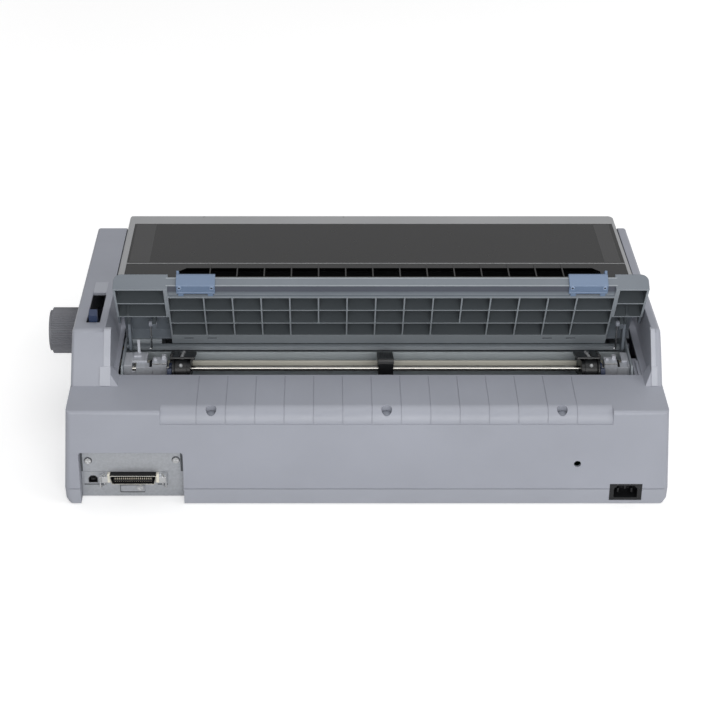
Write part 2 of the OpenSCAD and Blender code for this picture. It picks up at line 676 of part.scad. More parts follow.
module paper_guide() color([0.47, 0.50, 0.53]) on_guide() {
    skin = 2.5;
    // Top skin over the lattice, and over the foot of each end
    block(lattice_x, [guide_s[0], rail_s - 3], [top_t - skin, top_t]);
    for (x = [[guide_x[0] + 6, lattice_x[0]], [lattice_x[1], guide_x[1] - 4]]) {
        block(x, [guide_s[0], 31], [top_t - skin, top_t]);
        block(x, [guide_s[0], guide_s[0] + 2], [14, top_t]);
    }
    // Hollow rail at the rim that the edge guides slide on
    along_x(lattice_x[0], lattice_x[1]) difference() {
        polygon([
            [rail_s - rib_t, under_t], [rail_s, under_t], [guide_s[1], under_t + 4], [guide_s[1], top_t - 4],
            [rail_s - 3, top_t - 4], [rail_s - 3, top_t - skin - 1], [rail_s - rib_t, top_t - skin - 1]
        ]);
        polygon([
            [rail_s, under_t + 2], [guide_s[1] - 2, under_t + 5.4], [guide_s[1] - 2, top_t - 6], [rail_s, top_t - 6]
        ]);
    }
    block(lattice_x, [rail_s - 3, rail_s - 1], [top_t - skin - 3, top_t]);
    // Lattice
    for (s = row_s) block(lattice_x, [s, s + rib_t], [under_t, top_t - skin + 0.1]);
    for (k = [0:rib_count - 1]) {
        x = lattice_mid + 0.9 + (k - (rib_count - 1) / 2) * rib_pitch;
        low = (k == 4 || k == 9) ? row_s[1] : row_s[0];
        block([x - rib_t / 2, x + rib_t / 2], [low, rail_s - 1], [under_t, top_t - skin + 0.1]);
    }
    for (x = [lattice_x[0], lattice_x[1] - 2]) block([x, x + 2], [guide_s[0], guide_s[1]], [under_t, top_t - 0.01]);
    // Lower flange with its slots
    difference() {
        block(lattice_x, [guide_s[0], row_s[0] + 1], [under_t, under_t + 2]);
        for (x = [-225, -200, 158, 183]) block([x, x + 10], [0.5, 2.8], [under_t - 1, under_t + 3]);
    }
    block(lattice_x, [guide_s[0], guide_s[0] + 2], [under_t, top_t - 1]);
    // End blocks, arms and pins
    end_block([lattice_x[1] - 0.01, guide_x[1]], 1);
    end_block([guide_x[0], lattice_x[0] + 0.01], -1);
    guide_arm(248);
    guide_arm(-276);
    rod(250, 257, [0, 0], 3);
    rod(-282, -274, [0, 0], 3);
    for (x = stay_x) difference() {
        block([x - 6, x - 2], [stay_s - 5, stay_s + 5], [stay_t - 4, top_t - skin + 0.1]);
        rod(x - 7, x - 1, [stay_s, stay_t], 1.1);
    }
}
module edge_guide(x, fence_side) {
    gap = 0.35;
    on_guide() {
        along_x(x, x + 40) difference() {
            polygon([
                [rail_s - 1.5, under_t - 2.6], [rail_s + 2, under_t - 3], [guide_s[1] + 2.6, under_t + 1.6],
                [guide_s[1] + 3, under_t + 4], [guide_s[1] + 3, top_t - 3], [guide_s[1] + 1, top_t],
                [rail_s - 0.5, top_t], [rail_s - 0.5, under_t + 2]
            ]);
            polygon([
                [rail_s - 4, under_t - gap], [rail_s, under_t - gap], [guide_s[1] + gap, under_t + 4 - gap],
                [guide_s[1] + gap, top_t - 4 + gap], [rail_s - 4, top_t - 4 + gap]
            ]);
        }
        fence = fence_side > 0 ? x + 37.6 : x;
        along_x(fence, fence + 2.4) polygon([
            [66, top_t + gap], [rail_s, top_t + gap], [rail_s, top_t - 0.5], [guide_s[1] + 0.8, top_t - 0.5],
            [guide_s[1] + 2, top_t + 3.2], [guide_s[1] - 5, top_t + 6.2], [70, top_t + 6.2], [66, top_t + 3]
        ]);
    }
}
module right_edge_guide() color([0.45, 0.55, 0.68]) edge_guide(155.5, 1);
module left_edge_guide() color([0.45, 0.55, 0.68]) edge_guide(-248.1, -1);
// Wire stays that hang from the guide, clear of the tractor brackets
stay_at = guide_at + [stay_s * cos(raise) - stay_t * sin(raise), stay_s * sin(raise) + stay_t * cos(raise)];
module guide_stays() color([0.75, 0.75, 0.73]) {
    for (x = stay_x) {
        rod(x - 6.5, x, stay_at, 1);
        translate([mid_x + x, stay_at[0], stay_at[1]]) sphere(1);
        post(x, stay_at[0], [stay_at[1] - 30, stay_at[1]], 1);
        translate([mid_x + x, stay_at[0], stay_at[1] - 30]) sphere(1);
        rod(x, x + 2, [stay_at[0], stay_at[1] - 30], 1);
    }
}

// Release lever and platen
module release_lever() color([0.30, 0.38, 0.52]) {
    translate([0, lever_at[0], lever_at[1]]) rotate([-15.6, 0, 0]) {
        difference() {
            union() {
                rod(276, 285.5, [0, 0], 8);
                block([279.5, 283], [-4, 4], [0, 92]);
                block([278, 286.5], [-4.6, 4.6], [88, 111]);
            }
            rod(275, 287, [0, 0], 4 + fit);
        }
    }
}
module platen_knob() color([0.42, 0.43, 0.46]) {
    ribs = 60;
    end_x = half_w + knob_reach;
    difference() {
        union() {
            along_x(half_w + 4, end_x - 3) translate(platen_at) polygon([for (k = [0:4 * ribs - 1])
                let (a = k * 90 / ribs, r = knob_r - (k % 4 < 2 ? 0 : 1))
                r * [cos(a), sin(a)]]);
            rod(end_x - 3.01, end_x, platen_at, knob_r - 3);
            rod(half_w - 8, half_w + 4.01, platen_at, 8.5);
        }
        rod(half_w - 9, half_w + knob_reach - 8, platen_at, platen_shaft_r + 0.02);
        difference() {
            rod(end_x - 1.5, end_x + 1, platen_at, knob_r - 6);
            rod(end_x - 2, end_x + 2, platen_at, 9);
        }
    }
}
module platen_shaft() color([0.76, 0.77, 0.78]) {
    rod(left_frame_x - 4, half_w + knob_reach - 10, platen_at, platen_shaft_r);
}
module platen_roller() color([0.13, 0.13, 0.14]) {
    difference() {
        rod(roller_x[0], roller_x[1], platen_at, platen_r);
        rod(roller_x[0] - 1, roller_x[1] + 1, platen_at, platen_shaft_r + 0.02);
    }
}

// Paper feed gears
module gear(teeth, at, phase, bore) {
    along_x(gear_x, gear_x + gear_w) translate(at) difference() {
        polygon(gear_outline(teeth, phase));
        circle(bore);
        if (teeth > 20) for (k = [0:4]) rotate(k * 72) translate([pitch_r(teeth) * 0.6, 0]) circle(pitch_r(teeth) * 0.16);
    }
}
platen_phase = 0;
idler_dir = heading(idler_at - platen_at);
idler_phase = mesh_phase(idler_dir, platen_phase, platen_teeth, idler_teeth);
tractor_dir = heading(drive_at - idler_at);
tractor_phase = mesh_phase(tractor_dir, idler_phase, idler_teeth, tractor_teeth);
pinion_phase = mesh_phase(pinion_dir, platen_phase, platen_teeth, pinion_teeth);
module platen_gear() color([0.88, 0.87, 0.82]) gear(platen_teeth, platen_at, platen_phase, platen_shaft_r + 0.02);
module idler_gear() color([0.88, 0.87, 0.82]) gear(idler_teeth, idler_at, idler_phase, 4 + fit);
module tractor_gear() color([0.88, 0.87, 0.82]) gear(tractor_teeth, drive_at, tractor_phase, 4.02);
module motor_pinion() color([0.80, 0.68, 0.35]) {
    gear(pinion_teeth, pinion_at, pinion_phase, 2.4);
    rod(right_frame_x - 6, gear_x + gear_w + 1, pinion_at, 2.5);
}

// Tractor drive and support shafts, and the brackets at their ends
module tractor_drive_shaft() color([0.82, 0.80, 0.73]) {
    x = [left_frame_x + frame_t + 2, right_frame_x - 2];
    h = drive_side / 2;
    translate([mid_x + x[0], drive_at[0], drive_at[1]]) rotate([lean, 0, 0]) translate([0, -h, -h])
        cube([x[1] - x[0], drive_side, drive_side]);
    rod(left_frame_x - 3, x[0] + 0.01, drive_at, support_r + 1);
    rod(x[1] - 0.01, gear_x + gear_w + 1, drive_at, support_r + 1);
}
module tractor_support_shaft() color([0.80, 0.80, 0.80]) {
    rod(left_frame_x - 2, right_frame_x + frame_t + 2, support_at, support_r);
}
module bracket(tower, shelf, web) {
    difference() {
        union() {
            block(tower, [82.6, 97.5], [66, 106.5]);
            block(shelf, [70, 88], [101.7, 104.7]);
            block([min(shelf[0], web[0]), max(shelf[1], web[1])], [84, 97.5], [66, 97]);
            block([min(tower[0], web[0]), max(tower[1], web[1])], [82.6, 97.5], [66, 77]);
            block(web, [70, 97.5], [66, 104.7]);
        }
        rod(-290, 290, support_at, support_r + 0.02);
    }
}
module tractor_brackets() color([0.64, 0.66, 0.70]) {
    bracket([208.4, 223.7], [229.7, 247], [245, 253.5]);
    bracket([-264, -250.5], [-276, -269.5], [-277, -275]);
}

// Tractors, drawn along the drive shaft with the outer side plate at +x, the left one mirrored
module on_tractor(side) {
    translate([side > 0 ? mid_x + tractor_x[1] : mid_x + tractor_x[0] + tractor_w, drive_at[0], drive_at[1]])
        rotate([lean, 0, 0]) mirror([side > 0 ? 0 : 1, 0, 0]) children();
}
module slab_x(x0, x1) {
    translate([x0, 0, 0]) rotate([90, 0, 90]) linear_extrude(x1 - x0) children();
}
module tractor_body(side) on_tractor(side) {
    difference() {
        union() {
            slab_x(22, 24.1) racetrack(belt_reach + 4, 10.8);
            slab_x(24, 28.5) racetrack(17, 10);
            slab_x(21.4, 24) translate([16, -14]) square([28, 6]);
            slab_x(8, 22.1) difference() {
                racetrack(belt_reach, belt_r - 0.3);
                circle(belt_r + 3);
            }
            slab_x(5.5, 8.1) racetrack(belt_reach, belt_r - 0.3);
            for (y = hinge_y) translate([24.4, y[0], 8]) cube([4, y[1] - y[0], 4]);
            for (y = hinge_y) translate([hinge_x, y[0], hinge_z]) rotate([-90, 0, 0])
                cylinder(r = 2, h = y[1] - y[0]);
        }
        slab_x(-1, 30) circle(5.2);
        slab_x(-1, 30) translate([support_reach, 0]) circle(support_r + fit);
        translate([hinge_x, 0, hinge_z]) rotate([-90, 0, 0]) cylinder(r = 1 + fit, h = 60);
    }
}
module pin_belt(side) on_tractor(side) {
    slab_x(9, 21) difference() {
        racetrack(belt_reach, belt_r + belt_t);
        racetrack(belt_reach, belt_r);
    }
    mean = belt_r + belt_t / 2;
    arc = PI * mean;
    for (k = [0:pin_count - 1]) {
        d = (k + 0.25) * pin_pitch;
        run = d < belt_reach ? 0 : d < belt_reach + arc ? 1 : d < 2 * belt_reach + arc ? 2 : 3;
        along = run == 0 ? d : run == 1 ? belt_reach : run == 2 ? belt_reach - (d - belt_reach - arc) : 0;
        turn = run == 0 ? 0 : run == 1 ? (d - belt_reach) / mean * 180 / PI
            : run == 2 ? 180 : 180 + (d - 2 * belt_reach - arc) / mean * 180 / PI;
        translate([15, along, 0]) rotate([-turn, 0, 0]) translate([0, 0, belt_r + belt_t - 0.1]) {
            cylinder(r = 1.9, h = 1.6);
            translate([0, 0, 1.6]) cylinder(r1 = 1.9, r2 = 1.1, h = 1.2, $fn = 24);
        }
    }
}
module sprocket(side) on_tractor(side) {
    difference() {
        union() {
            slab_x(9.2, 20.8) circle(belt_r - 0.4);
            slab_x(8.3, 21.8) circle(6.5);
        }
        slab_x(8, 23) square(drive_side + 0.3, center = true);
        for (k = [0:5]) slab_x(12.5, 17.5) rotate(k * 60) translate([belt_r - 0.4, 0]) circle(2.2);
    }
}
module tractor_cover(side) on_tractor(side) {
    y = [hinge_y[0][1] + 0.4, hinge_y[1][0] - 0.4];
    difference() {
        union() {
            translate([1, 9, hinge_z]) cube([23, 39, 1.8]);
            translate([1, 9, hinge_z - 1]) cube([1.5, 39, 2]);
            translate([23.9, y[0], hinge_z]) cube([2.6, y[1] - y[0], 1.8]);
            translate([hinge_x, y[0], hinge_z]) rotate([-90, 0, 0]) cylinder(r = 1.9, h = y[1] - y[0]);
        }
        translate([12.2, 3, hinge_z - 1]) cube([5.6, 41, 6]);
    }
    translate([hinge_x, hinge_y[0][0] + 0.5, hinge_z]) rotate([-90, 0, 0])
        cylinder(r = 1, h = hinge_y[1][1] - hinge_y[0][0] - 1);
}
module lock_lever(side) on_tractor(side) {
    difference() {
        union() {
            slab_x(24.4, 28.4) translate([support_reach, 0]) circle(6);
            slab_x(25, 28) translate([support_reach, -2.2]) square([22, 4.4]);
            slab_x(24.4, 29.2) translate([support_reach + 14, -3.2]) square([9, 6.4]);
        }
        slab_x(24, 30) translate([support_reach, 0]) circle(support_r + fit);
    }
}
module left_tractor() color([0.14, 0.14, 0.15]) tractor_body(-1);
module right_tractor() color([0.14, 0.14, 0.15]) tractor_body(1);
module left_pin_belt() color([0.10, 0.10, 0.11]) pin_belt(-1);
module right_pin_belt() color([0.10, 0.10, 0.11]) pin_belt(1);
module left_sprocket() color([0.85, 0.85, 0.82]) sprocket(-1);
module right_sprocket() color([0.85, 0.85, 0.82]) sprocket(1);
module left_tractor_cover() color([0.14, 0.14, 0.15]) tractor_cover(-1);
module right_tractor_cover() color([0.14, 0.14, 0.15]) tractor_cover(1);
module left_lock_lever() color([0.20, 0.24, 0.34]) lock_lever(-1);
module right_lock_lever() color([0.20, 0.24, 0.34]) lock_lever(1);

// Sliding support that carries the middle of the paper, with a toothed top
module paper_support() color([0.14, 0.14, 0.15]) {
    x = [-29.7, -12.9];
    translate([0, drive_at[0], drive_at[1]]) rotate([lean, 0, 0]) difference() {
        union() {
            along_x(x[0] + 0.6, x[1] - 0.6) polygon([
                [-9, -5], [-9, 6], [-4, 9.5], [46, 9.5], [48, 7], [42, -6], [support_reach, -8], [8, -7]
            ]);
            along_x(x[0], x[1]) polygon([[-7, 6.5], [-4, 11], [46, 11], [47, 6.5]]);
            for (k = [0:6]) block([x[0] + 0.4 + k * 2.4, x[0] + 1.6 + k * 2.4], [-3, 45], [10.5, 12.1]);
        }
        rod(x[0] - 1, x[1] + 1, [0, 0], 5.2);
        rod(x[0] - 1, x[1] + 1, [support_reach, 0], support_r + fit);
    }
}

// Fixed paper plates behind the platen
module lower_paper_plate() color([0.42, 0.45, 0.47]) {
    x = [left_frame_x + frame_t, right_frame_x];
    along_x(x[0], x[1]) polygon([[27, 76], [31, 79.4], [44, 86.6], [44, 84], [32, 77], [29, 70], [29, 30], [27, 30]]);
}
module upper_paper_rail() color([0.40, 0.43, 0.45]) {
    along_x(left_frame_x + frame_t, right_frame_x) polygon([
        [36.5, 93.5], [38, 92.3], [44.6, 93], [44.6, 97.2], [40, 97.4], [38, 97.2]
    ]);
}

// Two equal stepper motors: one feeds the paper, one drives the carriage
module stepper_motors() color([0.24, 0.24, 0.26]) {
    side = 42;
    difference() {
        union() {
            along_x(right_frame_x - 34, right_frame_x - 0.1) translate(pinion_at) round_rect(side, side, 5);
            rod(right_frame_x - 0.2, right_frame_x + frame_t, pinion_at, 3.9);
        }
        rod(right_frame_x - 8, right_frame_x + 3, pinion_at, 2.5 + fit);
    }
    translate([mid_x + pulley_x[0], belt_y, chassis_z[1]]) difference() {
        union() {
            linear_extrude(34) round_rect(side, side, 5);
            cylinder(r = 5, h = 35);
        }
        translate([0, 0, 26]) cylinder(r = 2.5 + fit, h = 20);
    }
}

// Carriage, print head, belt, pulleys and ribbon
module carriage_shaft() color([0.78, 0.79, 0.80]) {
    rod(left_frame_x - 1, right_frame_x + frame_t + 1, carriage_at, carriage_shaft_r);
}
module carriage() color([0.20, 0.21, 0.22]) {
    x = carriage_x;
    difference() {
        union() {
            block([x - 28, x + 28], [-62, -26], [62, 82]);
            block([x - 24, x + 24], [-62, -20], [81.9, 86]);
            block([x - 10, x + 10], [-107, -61.9], [60, 63]);
            block([x - 10, x + 10], [-112.5, -105], [58.3, 63]);
            block([x - 6, x + 6], [-71, -61.9], [62.9, 76]);
            for (s = [-1, 1]) block([x + s * 25 - 2, x + s * 25 + 2], [-58, -24], [81.9, 100]);
        }
        rod(x - 30, x + 30, carriage_at, carriage_shaft_r + fit);
        block([x - 7, x + 7], [-68.6, -65.6], [65.4, 72.6]);
    }
}
module print_head() color([0.30, 0.30, 0.32]) {
    x = carriage_x;
    block([x - 22, x + 22], [-56, -24], [86, 90]);
    post(x, -40, [89.9, 112], 15);
    for (k = [0:4]) post(x, -40, [91 + k * 4.4, 93 + k * 4.4], 20);
    along_x(x - 11, x + 11) polygon([[-40, 90], [-20, 90], [-11.5, 94.5], [-11, 96], [-11, 99], [-20, 106], [-40, 106]]);
}
module carriage_belt() color([0.09, 0.09, 0.10]) {
    translate([mid_x + pulley_x[0], belt_y, belt_z[0]]) linear_extrude(belt_z[1] - belt_z[0]) difference() {
        racetrack(pulley_x[1] - pulley_x[0], pulley_r + 0.4 + 1.1);
        racetrack(pulley_x[1] - pulley_x[0], pulley_r + 0.4);
    }
}
module pulley(x, foot) {
    post(x, belt_y, [belt_z[0] - 1.6, belt_z[1] + 1.6], pulley_r);
    for (z = [belt_z[0] - 1.6, belt_z[1] + 0.4]) post(x, belt_y, [z, z + 1.2], pulley_r + 1.8);
    post(x, belt_y, [foot, belt_z[1] + 3], 2.5);
}
module drive_pulley() color([0.72, 0.72, 0.70]) pulley(pulley_x[0], chassis_z[1] + 27);
module idler_pulley() color([0.72, 0.72, 0.70]) pulley(pulley_x[1], chassis_z[1] + 5);
module ribbon_cartridge() color([0.15, 0.15, 0.16]) {
    x = ribbon_x;
    block(x, [-132, -90], [96, 118]);
    for (k = [0:11]) block([x[0] + 30 + k * 36, x[0] + 50 + k * 36], [-126, -96], [117.9, 119]);
    block([x[0], x[0] + 12], [-90.1, -12], [88, 112]);
    block([x[1] - 12, x[1]], [-90.1, -12], [88, 112]);
    block([left_frame_x, x[0] + 0.1], [-60, -35], [84, 90]);
    block([x[1] - 0.1, right_frame_x + frame_t], [-60, -35], [84, 90]);
    block([x[0] + 11, x[1] - 11], [-10.2, -9.8], [92, 104]);
    for (s = [x[0] + 11, x[1] - 13]) block([s, s + 2], [-13, -9.6], [90, 106]);
    post(x[1] - 40, -111, [117.9, 125], 9);
}
module circuit_boards() color([0.12, 0.36, 0.22]) {
    block([-60, 170], [-130, 90], [9, 10.6]);
    for (x = [-54, 164], y = [-124, 84]) post(x, y, [floor_z, 9.1], 3);
    for (k = [0:3]) block([-30 + k * 48, -2 + k * 48], [-60, -32], [10.5, 13.5]);
    block([128, 277], [-192, -190.4], [62, 88]);
    for (x = [132, 273]) stud(x, [front_y + 2, -191], 66, 2);
    for (x = button_x) block([x - 3, x + 3], [-195, -191.9], [button_z - 3, button_z + 3]);
    block([-270, -150], [124, 176], [9, 10.6]);
    for (x = [-264, -156], y = [130, 170]) post(x, y, [floor_z, 9.1], 3);
    block([-230, -190], [134, 166], [10.5, 46]);
    for (x = [-172, -250]) post(x, 150, [10.5, 40], 10);
}

base_tray();
feet();
upper_case();
screws();
chassis_plate();
left_side_frame();
right_side_frame();
interface_panel();
option_plate();
usb_socket();
parallel_socket();
left_wire_bail();
right_wire_bail();
ac_inlet();
control_panel();
indicator_lenses();
pause_button();
feed_button();
load_button();
power_switch();
top_cover();
cover_window();
paper_exit_grille();
paper_guide();
left_edge_guide();
right_edge_guide();
guide_stays();
release_lever();
platen_knob();
platen_shaft();
platen_roller();
platen_gear();
motor_pinion();
idler_gear();
tractor_gear();
tractor_drive_shaft();
tractor_support_shaft();
tractor_brackets();
left_tractor();
right_tractor();
left_pin_belt();
right_pin_belt();
left_sprocket();
right_sprocket();
left_tractor_cover();
right_tractor_cover();
left_lock_lever();
right_lock_lever();
paper_support();
lower_paper_plate();
upper_paper_rail();
stepper_motors();
carriage_shaft();
carriage();
print_head();
carriage_belt();
drive_pulley();
idler_pulley();
ribbon_cartridge();
circuit_boards();
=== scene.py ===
"""Looks of a wide carriage dot matrix printer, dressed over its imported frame.

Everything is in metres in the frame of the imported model: +X towards the feed knob, +Y towards the
rear with the sockets, +Z up. Sizes that repeat those of the source are written in millimetres from
the middle of the case, and the Place classes turn them into metres.
"""

import json
import logging
import math
from collections.abc import Callable, Sequence
from dataclasses import dataclass, field
from enum import Enum

import bmesh
import bpy
from mathutils import Matrix, Vector

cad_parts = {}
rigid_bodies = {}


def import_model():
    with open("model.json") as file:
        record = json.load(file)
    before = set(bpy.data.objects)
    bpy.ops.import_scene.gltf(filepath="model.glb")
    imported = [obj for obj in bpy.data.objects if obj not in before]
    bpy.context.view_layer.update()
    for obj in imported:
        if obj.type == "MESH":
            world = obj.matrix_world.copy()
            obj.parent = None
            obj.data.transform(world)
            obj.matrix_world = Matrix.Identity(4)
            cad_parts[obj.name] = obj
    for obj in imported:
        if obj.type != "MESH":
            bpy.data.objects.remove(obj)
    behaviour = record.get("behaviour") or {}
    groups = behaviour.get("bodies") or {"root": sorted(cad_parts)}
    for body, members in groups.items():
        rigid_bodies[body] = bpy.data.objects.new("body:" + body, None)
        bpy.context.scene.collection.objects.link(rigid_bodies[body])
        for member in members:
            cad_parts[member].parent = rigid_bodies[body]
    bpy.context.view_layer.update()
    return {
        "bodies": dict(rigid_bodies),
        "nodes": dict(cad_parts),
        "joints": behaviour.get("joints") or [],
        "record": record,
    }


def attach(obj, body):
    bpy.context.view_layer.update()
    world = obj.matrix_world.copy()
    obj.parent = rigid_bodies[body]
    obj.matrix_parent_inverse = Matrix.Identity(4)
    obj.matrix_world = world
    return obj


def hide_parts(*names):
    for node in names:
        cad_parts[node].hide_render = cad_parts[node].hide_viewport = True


LOG = logging.getLogger("printer")
Colour = tuple[float, float, float]
Point = tuple[float, float, float]
Flat = tuple[float, float]
MM = 0.001
WELD = 0.00003
"""Distance in metres within which a copied mesh's points are merged."""
FLAT_BEND = 0.6
"""Bend in degrees below which two faces of a copied mesh become one."""
SHARP_BEND = 20
"""Bend in degrees from which an edge of a copied mesh stays sharp."""
ROUNDED_BEND = 40
"""Bend in degrees from which an edge of a made piece is rounded."""
SHOULDER_Z = 158.0
SHOULDER_Y = 116.0
SHOULDER_DROP = 16.5 / 268
"""Height and place of the shoulders' rear edge in millimetres, and their fall towards the front."""


class Grain(Enum):
    """How a surface breaks up the light: noise scale, bump strength and bump depth."""

    MOULDED = (1500.0, 0.20, 0.00012)
    SATIN = (900.0, 0.10, 0.00008)
    POLISHED = (40.0, 0.03, 0.0001)


class Along(Enum):
    """Axis that an outline is drawn out along, with the two axes that the outline lies in."""

    X = (1, 2, 0)
    Y = (0, 2, 1)
    Z = (0, 1, 2)

    def point(self, a: float, b: float, level: float) -> Vector:
        """Gives a point of an outline that is drawn out along the axis.

        Args:
            a: First coordinate in the outline's plane.
            b: Second coordinate in the outline's plane.
            level: Place along the axis.

        Returns:
            The point.
        """
        out = Vector((0.0, 0.0, 0.0))
        out[self.value[0]], out[self.value[1]], out[self.value[2]] = a, b, level
        return out


def srgb(red: int, green: int, blue: int) -> Colour:
    """Turns 0 to 255 display values into the linear colour that a shader takes.

    Args:
        red: Red display value.
        green: Green display value.
        blue: Blue display value.

    Returns:
        The linear colour.
    """
    out = []
    for value in (red, green, blue):
        v = value / 255
        out.append(v / 12.92 if v <= 0.04045 else ((v + 0.055) / 1.055) ** 2.4)
    return out[0], out[1], out[2]


def scaled(colour: Colour, share: float) -> Colour:
    """Gives a colour made lighter or darker by share, no lighter than white."""
    return tuple(min(c * share, 1.0) for c in colour)


def shoulder_top(y: float) -> float:
    """Gives the height of the sloping top of shoulders and cover at y, in millimetres."""
    return SHOULDER_Z - (SHOULDER_Y - y) * SHOULDER_DROP


def second_finish(middle: Vector, normal: Vector) -> int:
    """Paints every face of a shell with the second of its finishes."""
    return 1


class ShaderSheet:
    """A material under construction, with short ways to add and join its nodes."""

    def __init__(self, name: str) -> None:
        """Starts a material with one Principled shader.

        Args:
            name: Name of the material.
        """
        self.material = bpy.data.materials.new(name)
        self.material.use_nodes = True
        self.tree = self.material.node_tree
        self.tree.nodes.clear()
        self.shader = self.tree.nodes.new("ShaderNodeBsdfPrincipled")
        self.output = self.tree.nodes.new("ShaderNodeOutputMaterial")
        self.join(self.shader.outputs["BSDF"], self.output.inputs["Surface"])
        coords = self.tree.nodes.new("ShaderNodeTexCoord")
        self.coords = coords.outputs["Object"]

    def join(self, a: bpy.types.NodeSocket, b: bpy.types.NodeSocket) -> None:
        """Links output a to input b."""
        self.tree.links.new(a, b)

    def noise(
        self, scale: float, detail: float = 4.0, stretch: Point = (1, 1, 1)
    ) -> bpy.types.NodeSocket:
        """Adds a noise texture.

        Args:
            scale: Features per metre, about.
            detail: Octaves of finer noise.
            stretch: Scale along each axis, for brushed and drawn surfaces.

        Returns:
            The noise's value, from 0 to 1.
        """
        place = self.tree.nodes.new("ShaderNodeMapping")
        place.inputs["Scale"].default_value = stretch
        self.join(self.coords, place.inputs["Vector"])
        node = self.tree.nodes.new("ShaderNodeTexNoise")
        node.inputs["Scale"].default_value = scale
        node.inputs["Detail"].default_value = detail
        self.join(place.outputs["Vector"], node.inputs["Vector"])
        return node.outputs["Fac"]

    def ramp(
        self, value: bpy.types.NodeSocket, low: float, high: float, bottom: float, top: float
    ) -> bpy.types.NodeSocket:
        """Maps a value from the range low to high onto bottom to top.

        Args:
            value: The value to map.
            low: Value that becomes bottom.
            high: Value that becomes top.
            bottom: Result at low.
            top: Result at high.

        Returns:
            The mapped value.
        """
        node = self.tree.nodes.new("ShaderNodeMapRange")
        node.inputs["From Min"].default_value = low
        node.inputs["From Max"].default_value = high
        node.inputs["To Min"].default_value = bottom
        node.inputs["To Max"].default_value = top
        self.join(value, node.inputs["Value"])
        return node.outputs["Result"]

    def blend(self, share: bpy.types.NodeSocket, a: Colour, b: Colour) -> bpy.types.NodeSocket:
        """Blends from colour a to colour b by share.

        Args:
            share: 0 for a, 1 for b.
            a: First colour.
            b: Second colour.

        Returns:
            The blended colour.
        """
        node = self.tree.nodes.new("ShaderNodeMix")
        node.data_type = "RGBA"
        node.inputs["A"].default_value = (*a, 1)
        node.inputs["B"].default_value = (*b, 1)
        self.join(share, node.inputs["Factor"])
        return node.outputs["Result"]

    def tint(self, share: bpy.types.NodeSocket, colour: Colour, drift: float) -> None:
        """Lets the shader's colour drift by share round one colour."""
        blended = self.blend(share, scaled(colour, 1 - drift), scaled(colour, 1 + drift))
        self.join(blended, self.shader.inputs["Base Color"])

    def roughen(self, cloud: bpy.types.NodeSocket, level: float, spread: float) -> None:
        """Lets the shader's roughness drift by spread round one level."""
        low, high = max(level - spread, 0.03), min(level + spread, 1.0)
        self.join(self.ramp(cloud, 0.3, 0.7, low, high), self.shader.inputs["Roughness"])

    def bump(
        self, height: bpy.types.NodeSocket, strength: float, distance: float, radius: float = 0.0
    ) -> None:
        """Gives the shader a bumped normal, on rounded edges where radius isn't 0.

        Args:
            height: Height of the bump.
            strength: How strongly it shows.
            distance: Its depth in metres.
            radius: Radius of the rounded edges in metres.
        """
        node = self.tree.nodes.new("ShaderNodeBump")
        node.inputs["Strength"].default_value = strength
        node.inputs["Distance"].default_value = distance
        self.join(height, node.inputs["Height"])
        if radius:
            edge = self.tree.nodes.new("ShaderNodeBevel")
            edge.samples = 4
            edge.inputs["Radius"].default_value = radius
            self.join(edge.outputs["Normal"], node.inputs["Normal"])
        self.join(node.outputs["Normal"], self.shader.inputs["Normal"])


@dataclass(frozen=True)
class Plastic:
    """A moulded plastic: colour with faint drifts, fine grain and softly rounded edges."""

    name: str
    colour: Colour
    roughness: float = 0.5
    grain: Grain = Grain.MOULDED
    drift: float = 0.05
    edge: float = 0.0004
    coat: float = 0.0
    shine: float = 0.5

    def build(self) -> bpy.types.Material:
        """Makes the material.

        Returns:
            The material.
        """
        sheet = ShaderSheet(self.name)
        sheet.tint(sheet.ramp(sheet.noise(9.0, 5.0), 0.3, 0.7, 0, 1), self.colour, self.drift)
        spread = 0.015 if self.grain is Grain.POLISHED else 0.05
        sheet.roughen(sheet.noise(60.0, 3.0), self.roughness, spread)
        scale, strength, distance = self.grain.value
        sheet.bump(sheet.noise(scale, 2.0), strength, distance, self.edge)
        sheet.shader.inputs["Specular IOR Level"].default_value = self.shine
        sheet.shader.inputs["Coat Weight"].default_value = self.coat
        sheet.shader.inputs["Coat Roughness"].default_value = 0.1
        return sheet.material


@dataclass(frozen=True)
class Metal:
    """A plated, drawn or ground metal with fine streaks along one axis."""

    name: str
    colour: Colour
    roughness: float = 0.35
    streak: Point = (1.0, 18.0, 18.0)
    drift: float = 0.08
    metallic: float = 1.0

    def build(self) -> bpy.types.Material:
        """Makes the material.

        Returns:
            The material.
        """
        sheet = ShaderSheet(self.name)
        sheet.shader.inputs["Metallic"].default_value = self.metallic
        streaks = sheet.noise(60.0, 6.0, self.streak)
        sheet.tint(sheet.ramp(streaks, 0.3, 0.7, 0, 1), self.colour, self.drift)
        sheet.roughen(sheet.noise(25.0, 3.0), self.roughness, 0.08)
        sheet.bump(streaks, 0.08, 0.00005, 0.0003)
        return sheet.material


@dataclass(frozen=True)
class Rubber:
    """Ground or moulded rubber, matt with a fine dusty grain."""

    name: str
    colour: Colour
    roughness: float = 0.75

    def build(self) -> bpy.types.Material:
        """Makes the material.

        Returns:
            The material.
        """
        sheet = ShaderSheet(self.name)
        dust = sheet.ramp(sheet.noise(220.0, 5.0), 0.4, 0.8, 0, 1)
        dusty = sheet.blend(dust, self.colour, scaled(self.colour, 1.6))
        sheet.join(dusty, sheet.shader.inputs["Base Color"])
        sheet.shader.inputs["Roughness"].default_value = self.roughness
        sheet.bump(sheet.noise(1200.0, 2.0), 0.15, 0.0001, 0.0004)
        return sheet.material


